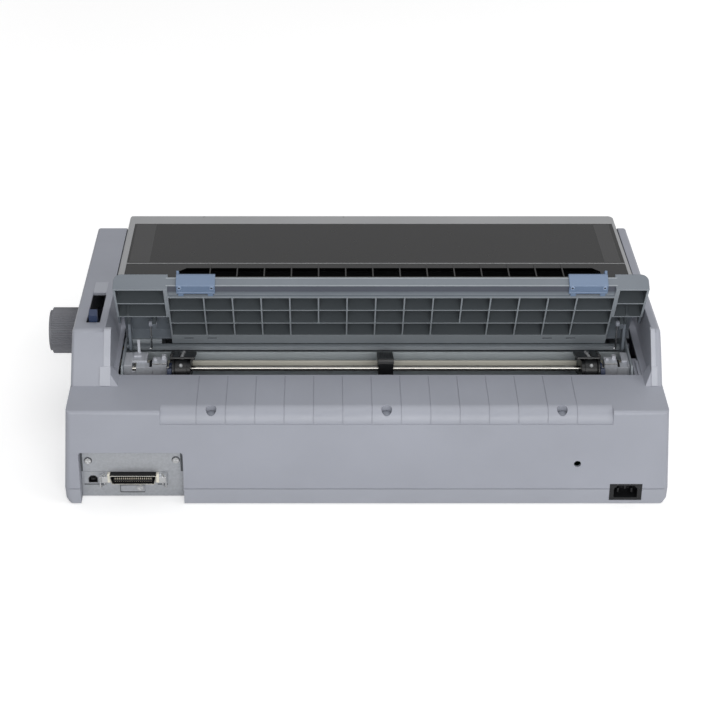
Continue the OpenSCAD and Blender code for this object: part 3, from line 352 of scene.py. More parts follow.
@dataclass
class Palette:
    """All finishes of the machine, most of them by the record's slot name."""

    finishes: dict[str, Plastic | Metal | Rubber] = field(
        default_factory=lambda: {
            "case_plastic": Plastic("case plastic", srgb(159, 162, 172), 0.42),
            # painted highlight: lighter strips on the shoulders' inner edges, where light catches them
            "cheek_painted_highlight": Plastic("cheek painted highlight", srgb(176, 179, 188), 0.4),
            "pad_plastic": Plastic("pale pad", srgb(172, 175, 184), 0.45),
            "tray_plastic": Plastic("tray plastic", srgb(160, 163, 172), 0.52),
            "cover_plastic": Plastic("cover plastic", srgb(168, 169, 171), 0.48),
            "smoky_plastic": Plastic("smoky plastic", srgb(42, 42, 43), 0.26, Grain.POLISHED, coat=0.3),
            "guide_plastic": Plastic("guide plastic", srgb(116, 123, 131), 0.42, Grain.SATIN),
            # painted highlight: lighter plastic on the guide's rib edges and rail lines, where light
            # catches them
            "guide_rim_painted_highlight": Plastic("guide rib edges painted highlight", srgb(152, 159, 165), 0.4, Grain.SATIN),
            # painted shade: darker plastic inside the guide's rib pockets, where shade falls
            "guide_pocket_painted_shade": Plastic("guide pockets painted shade", srgb(80, 86, 90), 0.5, Grain.SATIN),
            "blue_plastic": Plastic("blue plastic", srgb(112, 131, 158), 0.36, Grain.SATIN),
            # painted highlight: lighter blue on the edge guides' lower edge and eyelet collars
            "blue_painted_highlight": Plastic("blue highlight edge", srgb(142, 160, 186), 0.34, Grain.SATIN),
            "lever_plastic": Plastic("lever plastic", srgb(50, 63, 92), 0.36, Grain.SATIN),
            "knob_plastic": Plastic("knob plastic", srgb(122, 123, 129), 0.5, Grain.SATIN),
            "black_plastic": Plastic("black plastic", srgb(27, 28, 30), 0.4, Grain.SATIN),
            "navy_plastic": Plastic("navy plastic", srgb(44, 54, 80), 0.4, Grain.SATIN),
            "grey_plastic": Plastic("grey plastic", srgb(140, 145, 155), 0.5),
            "button_plastic": Plastic("button plastic", srgb(185, 188, 194), 0.45, Grain.SATIN),
            "gear_plastic": Plastic("gear plastic", srgb(232, 229, 218), 0.45, Grain.SATIN),
            "cream_metal": Plastic("cream lacquer", srgb(236, 232, 218), 0.35, Grain.SATIN, coat=0.2),
            "dark_frame": Metal("grey zinc", srgb(160, 167, 173), 0.5, metallic=0.25),
            "plate_zinc": Metal("bright zinc", srgb(202, 210, 214), 0.42, (1.0, 20.0, 20.0), metallic=0.2),
            "steel_plate": Metal("zinc plate", srgb(180, 183, 188), 0.45, (6.0, 1.0, 6.0), metallic=0.6),
            "steel": Metal("ground steel", srgb(204, 205, 206), 0.28),
            "bracket_zinc": Metal(
                "bracket zinc", srgb(202, 205, 212), 0.45, (6.0, 1.0, 6.0), metallic=0.15
            ),
            "wire_steel": Metal("wire steel", srgb(226, 227, 228), 0.25, drift=0.03),
            "chrome": Metal("polished steel", srgb(172, 170, 165), 0.2, drift=0.03),
            "brass": Metal("brass", srgb(205, 175, 105), 0.3),
            "rubber": Rubber("platen rubber", srgb(42, 42, 44)),
            "foot_rubber": Rubber("foot rubber", srgb(48, 48, 50)),
            "board": Plastic("solder mask", srgb(38, 92, 66), 0.35, Grain.POLISHED, coat=0.3),
            "lens": Plastic("green lens", srgb(120, 178, 96), 0.2, Grain.POLISHED, coat=0.4),
            # near black: painted shade in slots, holes, gaps and the socket's cavity, and the cover's dark
            # joint lines
            "shadow_gap": Plastic("shadow gap", srgb(22, 22, 24), 0.7, Grain.SATIN),
            "contact": Metal("contact gold", srgb(232, 222, 198), 0.3, (18.0, 1.0, 18.0)),
            # bright metal of the socket's rim and the recess ticks, and a painted highlight on the
            # brackets' top lips
            "bright_rim_and_highlight": Metal("bright rim", srgb(214, 212, 204), 0.25),
            "pin_plastic": Plastic("pin plastic", srgb(176, 178, 180), 0.4, Grain.SATIN),
            "shade": Plastic("recess shade", srgb(88, 91, 95), 0.6, Grain.SATIN),
            # painted shade: darker band on the guide rail's lower slope
            "guide_painted_shade_band": Plastic("guide groove", srgb(88, 92, 102), 0.45, Grain.SATIN),
            "smoky_edge": Plastic("smoky edge", srgb(64, 64, 65), 0.3, Grain.POLISHED, coat=0.3),
            # painted shade: darker floors in the deck's dimples
            "cup_painted_shade": Plastic("dimple painted shade", srgb(126, 130, 140), 0.5, Grain.SATIN),
            # painted shade: near black with almost no shine for the exit slot's walls and bars
            "slot_painted_shade": Plastic("exit slot painted shade", srgb(10, 10, 11), 0.7, Grain.SATIN, shine=0.05),
        }
    )
    made: dict[str, bpy.types.Material] = field(default_factory=dict)

    def get(self, slot: str) -> bpy.types.Material:
        """Gives a slot's material and makes it at first use.

        Args:
            slot: Name of the finish.

        Returns:
            The material.
        """
        if slot not in self.made:
            self.made[slot] = self.finishes[slot].build()
        return self.made[slot]


@dataclass
class Studio:
    """Pale floor and backdrop, soft lamps and the camera at the photograph's angle."""

    camera_at: Point = (0.02875, 1.909, 1.157)
    pitch: float = 30.0
    lens: float = 100.0
    shift: float = 0.05
    ambient: float = 0.30

    def build(self) -> None:
        """Makes the floor, the world, the lamps and the camera."""
        self.make_camera()
        self.make_world()
        self.make_floor()
        self.add_lamp("top lamp", (-0.4, -0.1, 2.1), (0.0, 0.0, 0.1), 2.2, 18.0)
        self.add_lamp("rear lamp", (-0.1, 2.6, 1.05), (0.0, 0.2, 0.08), 1.8, 38.0)
        self.add_lamp("front lamp", (1.9, -1.5, 0.5), (0.0, 0.0, 0.08), 0.9, 7.0)
        self.add_lamp("front side lamp", (-1.9, -1.5, 0.5), (0.0, 0.0, 0.08), 0.9, 7.0)
        self.add_lamp("side lamp", (-1.8, 0.9, 0.9), (0.0, 0.0, 0.1), 1.2, 5.0)

    def make_camera(self) -> None:
        """Sets a pinhole camera at the photograph's viewing angle."""
        data = bpy.data.cameras.new("camera")
        data.sensor_width = 36.0
        data.lens = self.lens
        data.shift_x = self.shift
        data.clip_end = 50.0
        camera = bpy.data.objects.new("camera", data)
        camera.location = self.camera_at
        camera.rotation_euler = (math.radians(90 - self.pitch), 0.0, math.pi)
        bpy.context.scene.collection.objects.link(camera)
        bpy.context.scene.camera = camera

    def make_world(self) -> None:
        """Sets a plain world that lights softly and that the camera sees as white."""
        world = bpy.data.worlds.new("studio")
        bpy.context.scene.world = world
        world.use_nodes = True
        tree = world.node_tree
        tree.nodes.clear()
        soft = tree.nodes.new("ShaderNodeBackground")
        soft.inputs["Color"].default_value = (1, 1, 1, 1)
        soft.inputs["Strength"].default_value = self.ambient
        seen = tree.nodes.new("ShaderNodeBackground")
        seen.inputs["Color"].default_value = (1, 1, 1, 1)
        seen.inputs["Strength"].default_value = 1.0
        mix = tree.nodes.new("ShaderNodeMixShader")
        rays = tree.nodes.new("ShaderNodeLightPath")
        out = tree.nodes.new("ShaderNodeOutputWorld")
        tree.links.new(rays.outputs["Is Camera Ray"], mix.inputs["Fac"])
        tree.links.new(soft.outputs["Background"], mix.inputs[1])
        tree.links.new(seen.outputs["Background"], mix.inputs[2])
        tree.links.new(mix.outputs["Shader"], out.inputs["Surface"])

    def make_floor(self) -> None:
        """Makes the floor: nearly white to the camera, with the machine's own shadow kept."""
        mesh = bpy.data.meshes.new("floor")
        mesh.from_pydata([(-9, -9, 0), (9, -9, 0), (9, 9, 0), (-9, 9, 0)], [], [(0, 1, 2, 3)])
        floor = bpy.data.objects.new("floor", mesh)
        bpy.context.scene.collection.objects.link(floor)
        sheet = ShaderSheet("floor")
        mottle = sheet.noise(1.5, 2.0)
        pale = sheet.blend(mottle, (0.80, 0.80, 0.80), (0.84, 0.84, 0.84))
        sheet.join(pale, sheet.shader.inputs["Base Color"])
        sheet.shader.inputs["Roughness"].default_value = 0.9
        glow = sheet.tree.nodes.new("ShaderNodeEmission")
        glow.inputs["Strength"].default_value = 0.45
        both = sheet.tree.nodes.new("ShaderNodeAddShader")
        rays = sheet.tree.nodes.new("ShaderNodeLightPath")
        mix = sheet.tree.nodes.new("ShaderNodeMixShader")
        sheet.join(sheet.shader.outputs["BSDF"], both.inputs[0])
        sheet.join(glow.outputs["Emission"], both.inputs[1])
        sheet.join(rays.outputs["Is Camera Ray"], mix.inputs["Fac"])
        sheet.join(sheet.shader.outputs["BSDF"], mix.inputs[1])
        sheet.join(both.outputs["Shader"], mix.inputs[2])
        sheet.join(mix.outputs["Shader"], sheet.output.inputs["Surface"])
        mesh.materials.append(sheet.material)

    def add_lamp(self, name: str, at: Point, to: Point, size: float, power: float) -> None:
        """Adds a large soft lamp.

        Args:
            name: Name of the lamp.
            at: Its place.
            to: The point that it faces.
            size: Its side in metres.
            power: Its power in watts.
        """
        data = bpy.data.lights.new(name, "AREA")
        data.size = size
        data.energy = power
        lamp = bpy.data.objects.new(name, data)
        lamp.location = at
        lamp.rotation_euler = (Vector(to) - Vector(at)).to_track_quat("-Z", "Y").to_euler()
        lamp.visible_camera = False
        bpy.context.scene.collection.objects.link(lamp)


@dataclass(frozen=True)
class CasePlace:
    """Millimetres from the middle of the case, on the floor."""

    mid_x: float = -14.75

    def point(self, p: Vector) -> Vector:
        """Gives a point of the case in metres."""
        return Vector((p[0] + self.mid_x, p[1], p[2])) * MM

    def local(self, p: Vector) -> Vector:
        """Gives a point in metres as millimetres of this place."""
        return Vector(p) / MM - Vector((self.mid_x, 0, 0))


@dataclass(frozen=True)
class TiltedPlace(CasePlace):
    """A place turned about the X axis at a pivot, such as the raised guide's or a tractor's."""

    pivot: Flat = (0.0, 0.0)
    angle: float = 0.0
    start_x: float = 0.0
    mirrored: bool = False

    def turn(self) -> Matrix:
        """Gives the rotation about the X axis."""
        return Matrix.Rotation(math.radians(self.angle), 3, "X")

    def point(self, p: Vector) -> Vector:
        """Gives a point of the tilted place in metres.

        Args:
            p: The point, in millimetres of this place.

        Returns:
            The point in metres.
        """
        x = (-p[0] if self.mirrored else p[0]) + self.start_x
        turned = self.turn() @ Vector((0, p[1], p[2]))
        return Vector((x + self.mid_x, turned[1] + self.pivot[0], turned[2] + self.pivot[1])) * MM

    def local(self, p: Vector) -> Vector:
        """Gives a point in metres as millimetres of this place.

        Args:
            p: The point in metres.

        Returns:
            The point, in millimetres of this place.
        """
        flat = Vector(p) / MM
        x = flat[0] - self.mid_x - self.start_x
        back = self.turn().inverted() @ Vector((0, flat[1] - self.pivot[0], flat[2] - self.pivot[1]))
        return Vector((-x if self.mirrored else x, back[1], back[2]))


GUIDE = TiltedPlace(pivot=(52.0, 102.0), angle=59.0)
RIGHT_TRACTOR = TiltedPlace(pivot=(60.5, 86.0), angle=20.75, start_x=177.7)
LEFT_TRACTOR = TiltedPlace(pivot=(60.5, 86.0), angle=20.75, start_x=-220.0, mirrored=True)
CASE = CasePlace()


class Form:
    """A mesh under construction from drawn out outlines, turned profiles and wires, in millimetres."""

    def __init__(self, place: CasePlace) -> None:
        """Starts an empty form.

        Args:
            place: Where its millimetres lie.
        """
        self.place = place
        self.sheet = bmesh.new()

    def join_rings(self, rings: list[list[Vector]], finish: int, closed: bool = False) -> None:
        """Spans faces between rings of points and closes both ends.

        Args:
            rings: Rings of as many points each.
            finish: Index of the material.
            closed: Whether the last ring joins the first instead of being capped.
        """
        made = [[self.sheet.verts.new(self.place.point(p)) for p in ring] for ring in rings]
        pairs = list(zip(made, made[1:]))
        if closed:
            pairs.append((made[-1], made[0]))
        faces = []
        for low, high in pairs:
            for k, vertex in enumerate(low):
                after = (k + 1) % len(low)
                faces.append(self.sheet.faces.new((vertex, low[after], high[after], high[k])))
        if not closed:
            faces.append(self.sheet.faces.new(list(reversed(made[0]))))
            faces.append(self.sheet.faces.new(made[-1]))
        for face in faces:
            face.material_index = finish

    def drawn(
        self, outline: Sequence[Flat], along: Along, low: float, high: float, finish: int = 0
    ) -> None:
        """Draws an outline out along an axis.

        Args:
            outline: Points of the outline, in the two other axes.
            along: The axis.
            low: Where it starts.
            high: Where it ends.
            finish: Index of the material.
        """
        self.join_rings([[along.point(a, b, level) for a, b in outline] for level in (low, high)], finish)

    def brick(self, x: Flat, y: Flat, z: Flat, finish: int = 0) -> None:
        """Adds a straight block between three pairs of limits."""
        self.drawn([(x[0], y[0]), (x[1], y[0]), (x[1], y[1]), (x[0], y[1])], Along.Z, z[0], z[1], finish)

    def turned(
        self,
        profile: Sequence[Flat],
        foot: Vector,
        along: Vector,
        steps: int = 24,
        finish: int = 0,
    ) -> None:
        """Turns a profile of radius and height about an axis.

        Args:
            profile: Radius and height of each ring, from the foot up.
            foot: Where height 0 is.
            along: Direction of the axis.
            steps: Sides of the turned form.
            finish: Index of the material.
        """
        axis = Vector(along).normalized()
        side = axis.orthogonal().normalized()
        other = axis.cross(side)
        rings = []
        for radius, height in profile:
            ring = []
            for k in range(steps):
                a = 2 * math.pi * k / steps
                out = side * math.cos(a) + other * math.sin(a)
                ring.append(Vector(foot) + axis * height + out * radius)
            rings.append(ring)
        self.join_rings(rings, finish)

    def hoop(
        self, foot: Vector, along: Vector, inner: float, outer: float, height: float, finish: int = 0
    ) -> None:
        """Adds a flat ring with a hole, such as an eyelet's collar.

        Args:
            foot: Middle of its lower side.
            along: Direction that it stands in.
            inner: Radius of its hole.
            outer: Its outer radius.
            height: Its height.
            finish: Index of the material.
        """
        axis = Vector(along).normalized()
        side = axis.orthogonal().normalized()
        other = axis.cross(side)
        shoulder, bevel = height * 0.7, 0.15
        profile = [
            (inner, 0.0),
            (outer, 0.0),
            (outer, shoulder),
            (outer - bevel, height),
            (inner + bevel, height),
            (inner, shoulder),
        ]
        rings = []
        steps = 24
        for k in range(steps):
            a = 2 * math.pi * k / steps
            out = side * math.cos(a) + other * math.sin(a)
            rings.append([Vector(foot) + out * r + axis * h for r, h in profile])
        self.join_rings(rings, finish, closed=True)


@dataclass
class Bench:
    """The loaded frame with the palette, and the ways a piece is made and set on its body."""

    frame: dict
    palette: Palette
    body_of: dict[str, str] = field(default_factory=dict)
    slot_of: dict[str, str] = field(default_factory=dict)

    def __post_init__(self) -> None:
        """Reads which body and which slot each node has from the record."""
        record = self.frame["record"]
        for body, nodes in record["behaviour"]["bodies"].items():
            for node in nodes:
                self.body_of[node] = body
        for part in record["subparts"]:
            self.slot_of[part["node"]] = part["material_slot"]

    def dress(self, node: str) -> None:
        """Gives a carried over node its slot's material.

        Args:
            node: Name of the node.
        """
        mesh = self.frame["nodes"][node].data
        mesh.materials.clear()
        mesh.materials.append(self.palette.get(self.slot_of[node]))
        LOG.info("dressed %s", node)

    def show(self, mesh: bpy.types.Mesh, body: str, finishes: list[str]) -> bpy.types.Object:
        """Sets a mesh in the scene as a piece of a body.

        Args:
            mesh: The mesh, whose name becomes the piece's.
            body: Name of the body that it rides on.
            finishes: Its materials, the record's slot first.

        Returns:
            The piece.
        """
        for name in finishes:
            mesh.materials.append(self.palette.get(name))
        piece = bpy.data.objects.new(mesh.name, mesh)
        bpy.context.scene.collection.objects.link(piece)
        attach(piece, body)
        LOG.info("made %s", mesh.name)
        return piece

    def add(
        self, name: str, form: Form, body: str, slot: str, finishes: list[str], edge: float = 0.15
    ) -> bpy.types.Object:
        """Makes a piece of its own from a form.

        Args:
            name: Name of the piece.
            form: Its form.
            body: Body that it rides on.
            slot: The record's slot that it belongs to; not used.
            finishes: Its materials.
            edge: Radius of its rounded edges in millimetres, 0 for none.

        Returns:
            The piece.
        """
        bmesh.ops.recalc_face_normals(form.sheet, faces=form.sheet.faces)
        mesh = bpy.data.meshes.new(name)
        form.sheet.to_mesh(mesh)
        form.sheet.free()
        piece = self.show(mesh, body, finishes)
        if edge:
            soften = piece.modifiers.new("edges", "BEVEL")
            soften.width = edge * MM
            soften.segments = 2
            soften.limit_method = "ANGLE"
            soften.angle_limit = math.radians(ROUNDED_BEND)
        return piece

    def shell(
        self,
        node: str,
        radius: float,
        rule: Callable[[Vector, Vector], float] | None = None,
        paint: Callable[[Vector, Vector], int] | None = None,
        finishes: list[str] | None = None,
        segments: int = 3,
    ) -> bpy.types.Object:
        """Makes a copy of a node with true rounded edges and shows it in the node's place.

        Args:
            node: Name of the node.
            radius: Largest radius of its edges in millimetres.
            rule: Gives an edge's radius in millimetres from its middle and its direction.
            paint: Gives a face's material index from its middle and its normal.
            finishes: Its materials, if more than its slot's.
            segments: Faces across each rounded edge.

        Returns:
            The new piece.
        """
        mesh = self.frame["nodes"][node].data.copy()
        mesh.name = node + "_shell"
        mesh.materials.clear()
        sheet = bmesh.new()
        sheet.from_mesh(mesh)
        bmesh.ops.remove_doubles(sheet, verts=sheet.verts, dist=WELD)
        bmesh.ops.dissolve_limit(
            sheet, angle_limit=math.radians(FLAT_BEND), verts=sheet.verts, edges=sheet.edges
        )
        weights = sheet.edges.layers.float.new("bevel_weight_edge")
        for edge in sheet.edges:
            bend = edge.calc_face_angle(0.0)
            edge.smooth = bend < math.radians(SHARP_BEND)
            if edge.smooth:
                continue
            start, end = edge.verts[0].co, edge.verts[1].co
            middle = CASE.local((start + end) / 2)
            wish = rule(middle, (end - start).normalized()) if rule else radius
            edge[weights] = min(wish / radius, 1.0) if radius else 0.0
        for face in sheet.faces:
            face.smooth = True
            middle = CASE.local(face.calc_center_median())
            face.material_index = paint(middle, face.normal) if paint else 0
        sheet.to_mesh(mesh)
        sheet.free()
        slot = self.slot_of[node]
        piece = self.show(mesh, self.body_of[node], finishes or [slot])
        if radius:
            bevel = piece.modifiers.new("edges", "BEVEL")
            bevel.width = radius * MM
            bevel.segments = segments
            bevel.limit_method = "WEIGHT"
            bevel.use_clamp_overlap = False
            bevel.loop_slide = False
        even = piece.modifiers.new("even", "WEIGHTED_NORMAL")
        even.keep_sharp = True
        even.weight = 60
        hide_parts(node)
        return piece


@dataclass
class Housing:
    """Upper case with its slot pad, well ledge, shoulder cheeks lighter as a painted highlight and dimple
    cups darker as painted shade.
    """

    half_w: float = 303.0
    side_zone: float = 4.0
    plain_below: float = 40.0
    plain_before: float = -190.0
    rounded_above: float = 112.0
    front_slope_y: float = -149.0
    crest_above: float = 150.0
    crest_reach: float = 3.0
    wells_between: Flat = (-286.0, 262.0)
    crest_r: float = 4.0
    side_r: float = 3.0
    small_r: float = 0.7
    slot_pad_x: Flat = (275.6, 289.4)
    slot_pad_y: Flat = (-1.0, 25.5)
    slot_pad_z: Flat = (-1.0, 0.5)
    ledge: tuple[tuple[Flat, Flat, Flat], ...] = (
        ((-284.9, -279.4), (86.0, 125.5), (95.0, 106.5)),
        ((-284.9, -281.8), (96.0, 125.5), (106.0, 110.0)),
    )
    cheek_x: tuple[Flat, ...] = ((262.3, 269.6), (-296.2, -291.5))
    cheek: tuple[Flat, ...] = (
        (110.0, 157.4),
        (115.0, 158.1),
        (117.0, 157.4),
        (133.8, 136.3),
        (142.0, 123.6),
        (138.0, 122.0),
        (131.0, 133.0),
        (114.5, 153.5),
        (110.0, 154.0),
    )
    cheek_foot_x: tuple[Flat, ...] = ((262.0, 273.5), (-297.8, -291.5))
    cheek_foot: tuple[Flat, ...] = (
        (139.0, 127.6),
        (140.0, 127.6),
        (150.6, 111.0),
        (150.0, 110.4),
        (147.0, 110.4),
        (137.0, 126.0),
    )
    dimple_x: tuple[float, ...] = (-196.1, -19.5, 157.1)
    dimple_y: float = 192.3
    cup: tuple[Flat, ...] = ((5.35, 101.8), (5.35, 103.4), (3.6, 104.8), (0.3, 105.4))

    def edge_radius(self, middle: Vector, along: Vector) -> float:
        """Gives the radius of one of the case's edges.

        Args:
            middle: Middle of the edge, in millimetres from the middle of the case.
            along: Its direction.

        Returns:
            The radius in millimetres, 0 where the edge stays sharp.
        """
        x, y, z = middle
        if z < self.plain_below or y < self.plain_before:
            return 0.0
        outside = abs(x) > self.half_w - self.side_zone
        high = z > self.rounded_above
        if outside and high and (abs(along[1]) > 0.3 or y < self.front_slope_y):
            return self.side_r
        crest = z > self.crest_above and abs(y - SHOULDER_Y) < self.crest_reach
        if crest and abs(along[0]) > 0.9:
            return self.crest_r
        left, right = self.wells_between
        if high and abs(along[1]) > 0.9 and (x > right or x < left):
            return self.small_r
        return 0.0

    def build(self, bench: Bench) -> None:
        """Makes the case's shell and its small forms.

        Args:
            bench: The bench to work on.
        """
        bench.shell("upper_case", self.crest_r, self.edge_radius)
        pad = Form(CASE)
        low, high = self.slot_pad_y
        under, over = self.slot_pad_z
        front, back = shoulder_top(low), shoulder_top(high)
        outline = [(low, front + under), (low, front + over), (high, back + over), (high, back + under)]
        pad.drawn(outline, Along.X, *self.slot_pad_x)
        bench.add("lever_slot_pad", pad, "case", "case_plastic", ["pad_plastic"], 0.25)
        ledge = Form(CASE)
        for x, y, z in self.ledge:
            ledge.brick(x, y, z)
        bench.add("well_ledge", ledge, "case", "case_plastic", ["case_plastic"], 0.4)
        # Lighter strips along the shoulders' inner edges: a painted highlight on the rounded edge.
        cheeks = Form(CASE)
        for low, high in self.cheek_x:
            cheeks.drawn(self.cheek, Along.X, low, high)
        for low, high in self.cheek_foot_x:
            cheeks.drawn(self.cheek_foot, Along.X, low, high)
        bench.add("shoulder_highlight_cheeks", cheeks, "case", "case_plastic", ["cheek_painted_highlight"], 0.6)
        # Darker floors in the dimples stand in for the shade inside them.
        cups = Form(CASE)
        for x in self.dimple_x:
            cups.turned(self.cup, Vector((x, self.dimple_y, 0)), Vector((0, 0, 1)), 32)
        bench.add("deck_dimple_cups", cups, "case", "case_plastic", ["cup_painted_shade"], 0)


@dataclass
class SocketBay:
    """Interface socket with its contacts and wire bails, and the painted shade lines in the recess around
    it.
    """

    panel_y: float = 187.0
    middle: float = 239.3
    half: float = 23.9
    ears_from: float = 26.5
    shell_wall: float = 0.3
    flange: float = 0.9
    rim: float = 7.9
    tongue: Flat = (22.9, 27.1)
    pitch: float = 2.16
    contacts: int = 18
    upper_contact: tuple[float, Flat, Flat] = (0.4, (4.2, 7.1), (-1.5, 0.15))
    """Half width, reach from the panel and height from the tongue's upper side."""
    lower_contact: tuple[float, Flat, Flat] = (0.36, (-2.8, 6.7), (-0.3, 0.28))
    """Half width, reach from the panel and height from the tongue's lower side."""
    shades: tuple[tuple[Flat, Flat, Flat], ...] = (
        ((187.3, 190.5), (-0.1, 0.08), (31.0, 61.0)),
        ((291.0, 292.7), (-0.1, 0.08), (31.0, 61.0)),
        ((204.5, 215.0), (0.0, 1.06), (15.0, 16.5)),
        ((268.0, 290.2), (0.0, 1.06), (15.0, 16.5)),
        ((228.1, 252.8), (0.0, 3.06), (6.9, 8.2)),
        ((252.4, 253.5), (0.0, 2.6), (6.9, 15.2)),
    )
    """Width, reach from the panel and height of each shade line."""
    tick_x: tuple[float, ...] = (279.8, 282.2)
    tick: tuple[float, Flat, Flat] = (0.35, (0.7, 1.1), (29.2, 30.2))
    """Half width, reach from the panel and height of the two bright ticks."""
    screws: tuple[Point, ...] = ((285.1, 187.8, 44.5), (195.1, 187.8, 45.5))
    ring: tuple[float, float, float] = (3.45, 4.2, 0.35)
    # Inner radius, outer radius and height of the painted shade ring round each screw.
    """Inner radius, outer radius and height of the ring round each screw."""

    def paint(self, middle: Vector, normal: Vector) -> int:
        """Picks the material of a face of the socket.

        Args:
            middle: Middle of the face, in millimetres from the middle of the case.
            normal: Its normal.

        Returns:
            0 cream, 1 bright rim, 2 black for the tongue and painted shade in the shell's cavity, 3 steel.
        """
        x, y, _ = middle
        off = abs(x - self.middle)
        if off > self.ears_from:
            return 3
        if off > self.half - self.shell_wall and y > self.panel_y + self.flange:
            return 0
        return 1 if y > self.panel_y + self.rim else 2

    def build(self, bench: Bench) -> None:
        """Makes the painted socket, its contacts, the recess's painted shade lines and the wire bails.

        Args:
            bench: The bench to work on.
        """
        finishes = ["cream_metal", "bright_rim_and_highlight", "shadow_gap", "wire_steel"]
        bench.shell("parallel_socket", 0, paint=self.paint, finishes=finishes)
        face = self.panel_y
        form = Form(CASE)
        for k in range(self.contacts):
            x = self.middle + (k - (self.contacts - 1) / 2) * self.pitch
            self.bar(form, x, self.tongue[1], self.upper_contact)
            self.bar(form, x, self.tongue[0], self.lower_contact)
        bench.add("socket_contacts", form, "case", "cream_metal", ["contact"], 0.08)
        # Painted shade: dark lines along the recess's side walls, under the plate's edge and beside the
        # tab, and dark rings round the screws.
        shade = Form(CASE)
        for x, y, z in self.shades:
            shade.brick(x, (face + y[0], face + y[1]), z)
        for x in self.tick_x:
            self.bar(shade, x, 0.0, self.tick, 1)
        for at in self.screws:
            shade.hoop(Vector(at), Vector((0, 1, 0)), *self.ring)
        finishes = ["shade", "bright_rim_and_highlight"]
        bench.add("recess_shade_lines", shade, "case", "steel_plate", finishes, 0)
        for side in ("left", "right"):
            finishes = ["cream_metal", "wire_steel"]
            bench.shell(side + "_wire_bail", 0, paint=second_finish, finishes=finishes)

    def bar(
        self, form: Form, x: float, level: float, size: tuple[float, Flat, Flat], finish: int = 0
    ) -> None:
        """Adds a small bar that stands out from the panel.

        Args:
            form: The form that it goes into.
            x: Its middle.
            level: Height that its own height counts from.
            size: Its half width, its reach from the panel and its height.
            finish: Index of the material.
        """
        half, y, z = size
        reach = (self.panel_y + y[0], self.panel_y + y[1])
        form.brick((x - half, x + half), reach, (level + z[0], level + z[1]), finish)


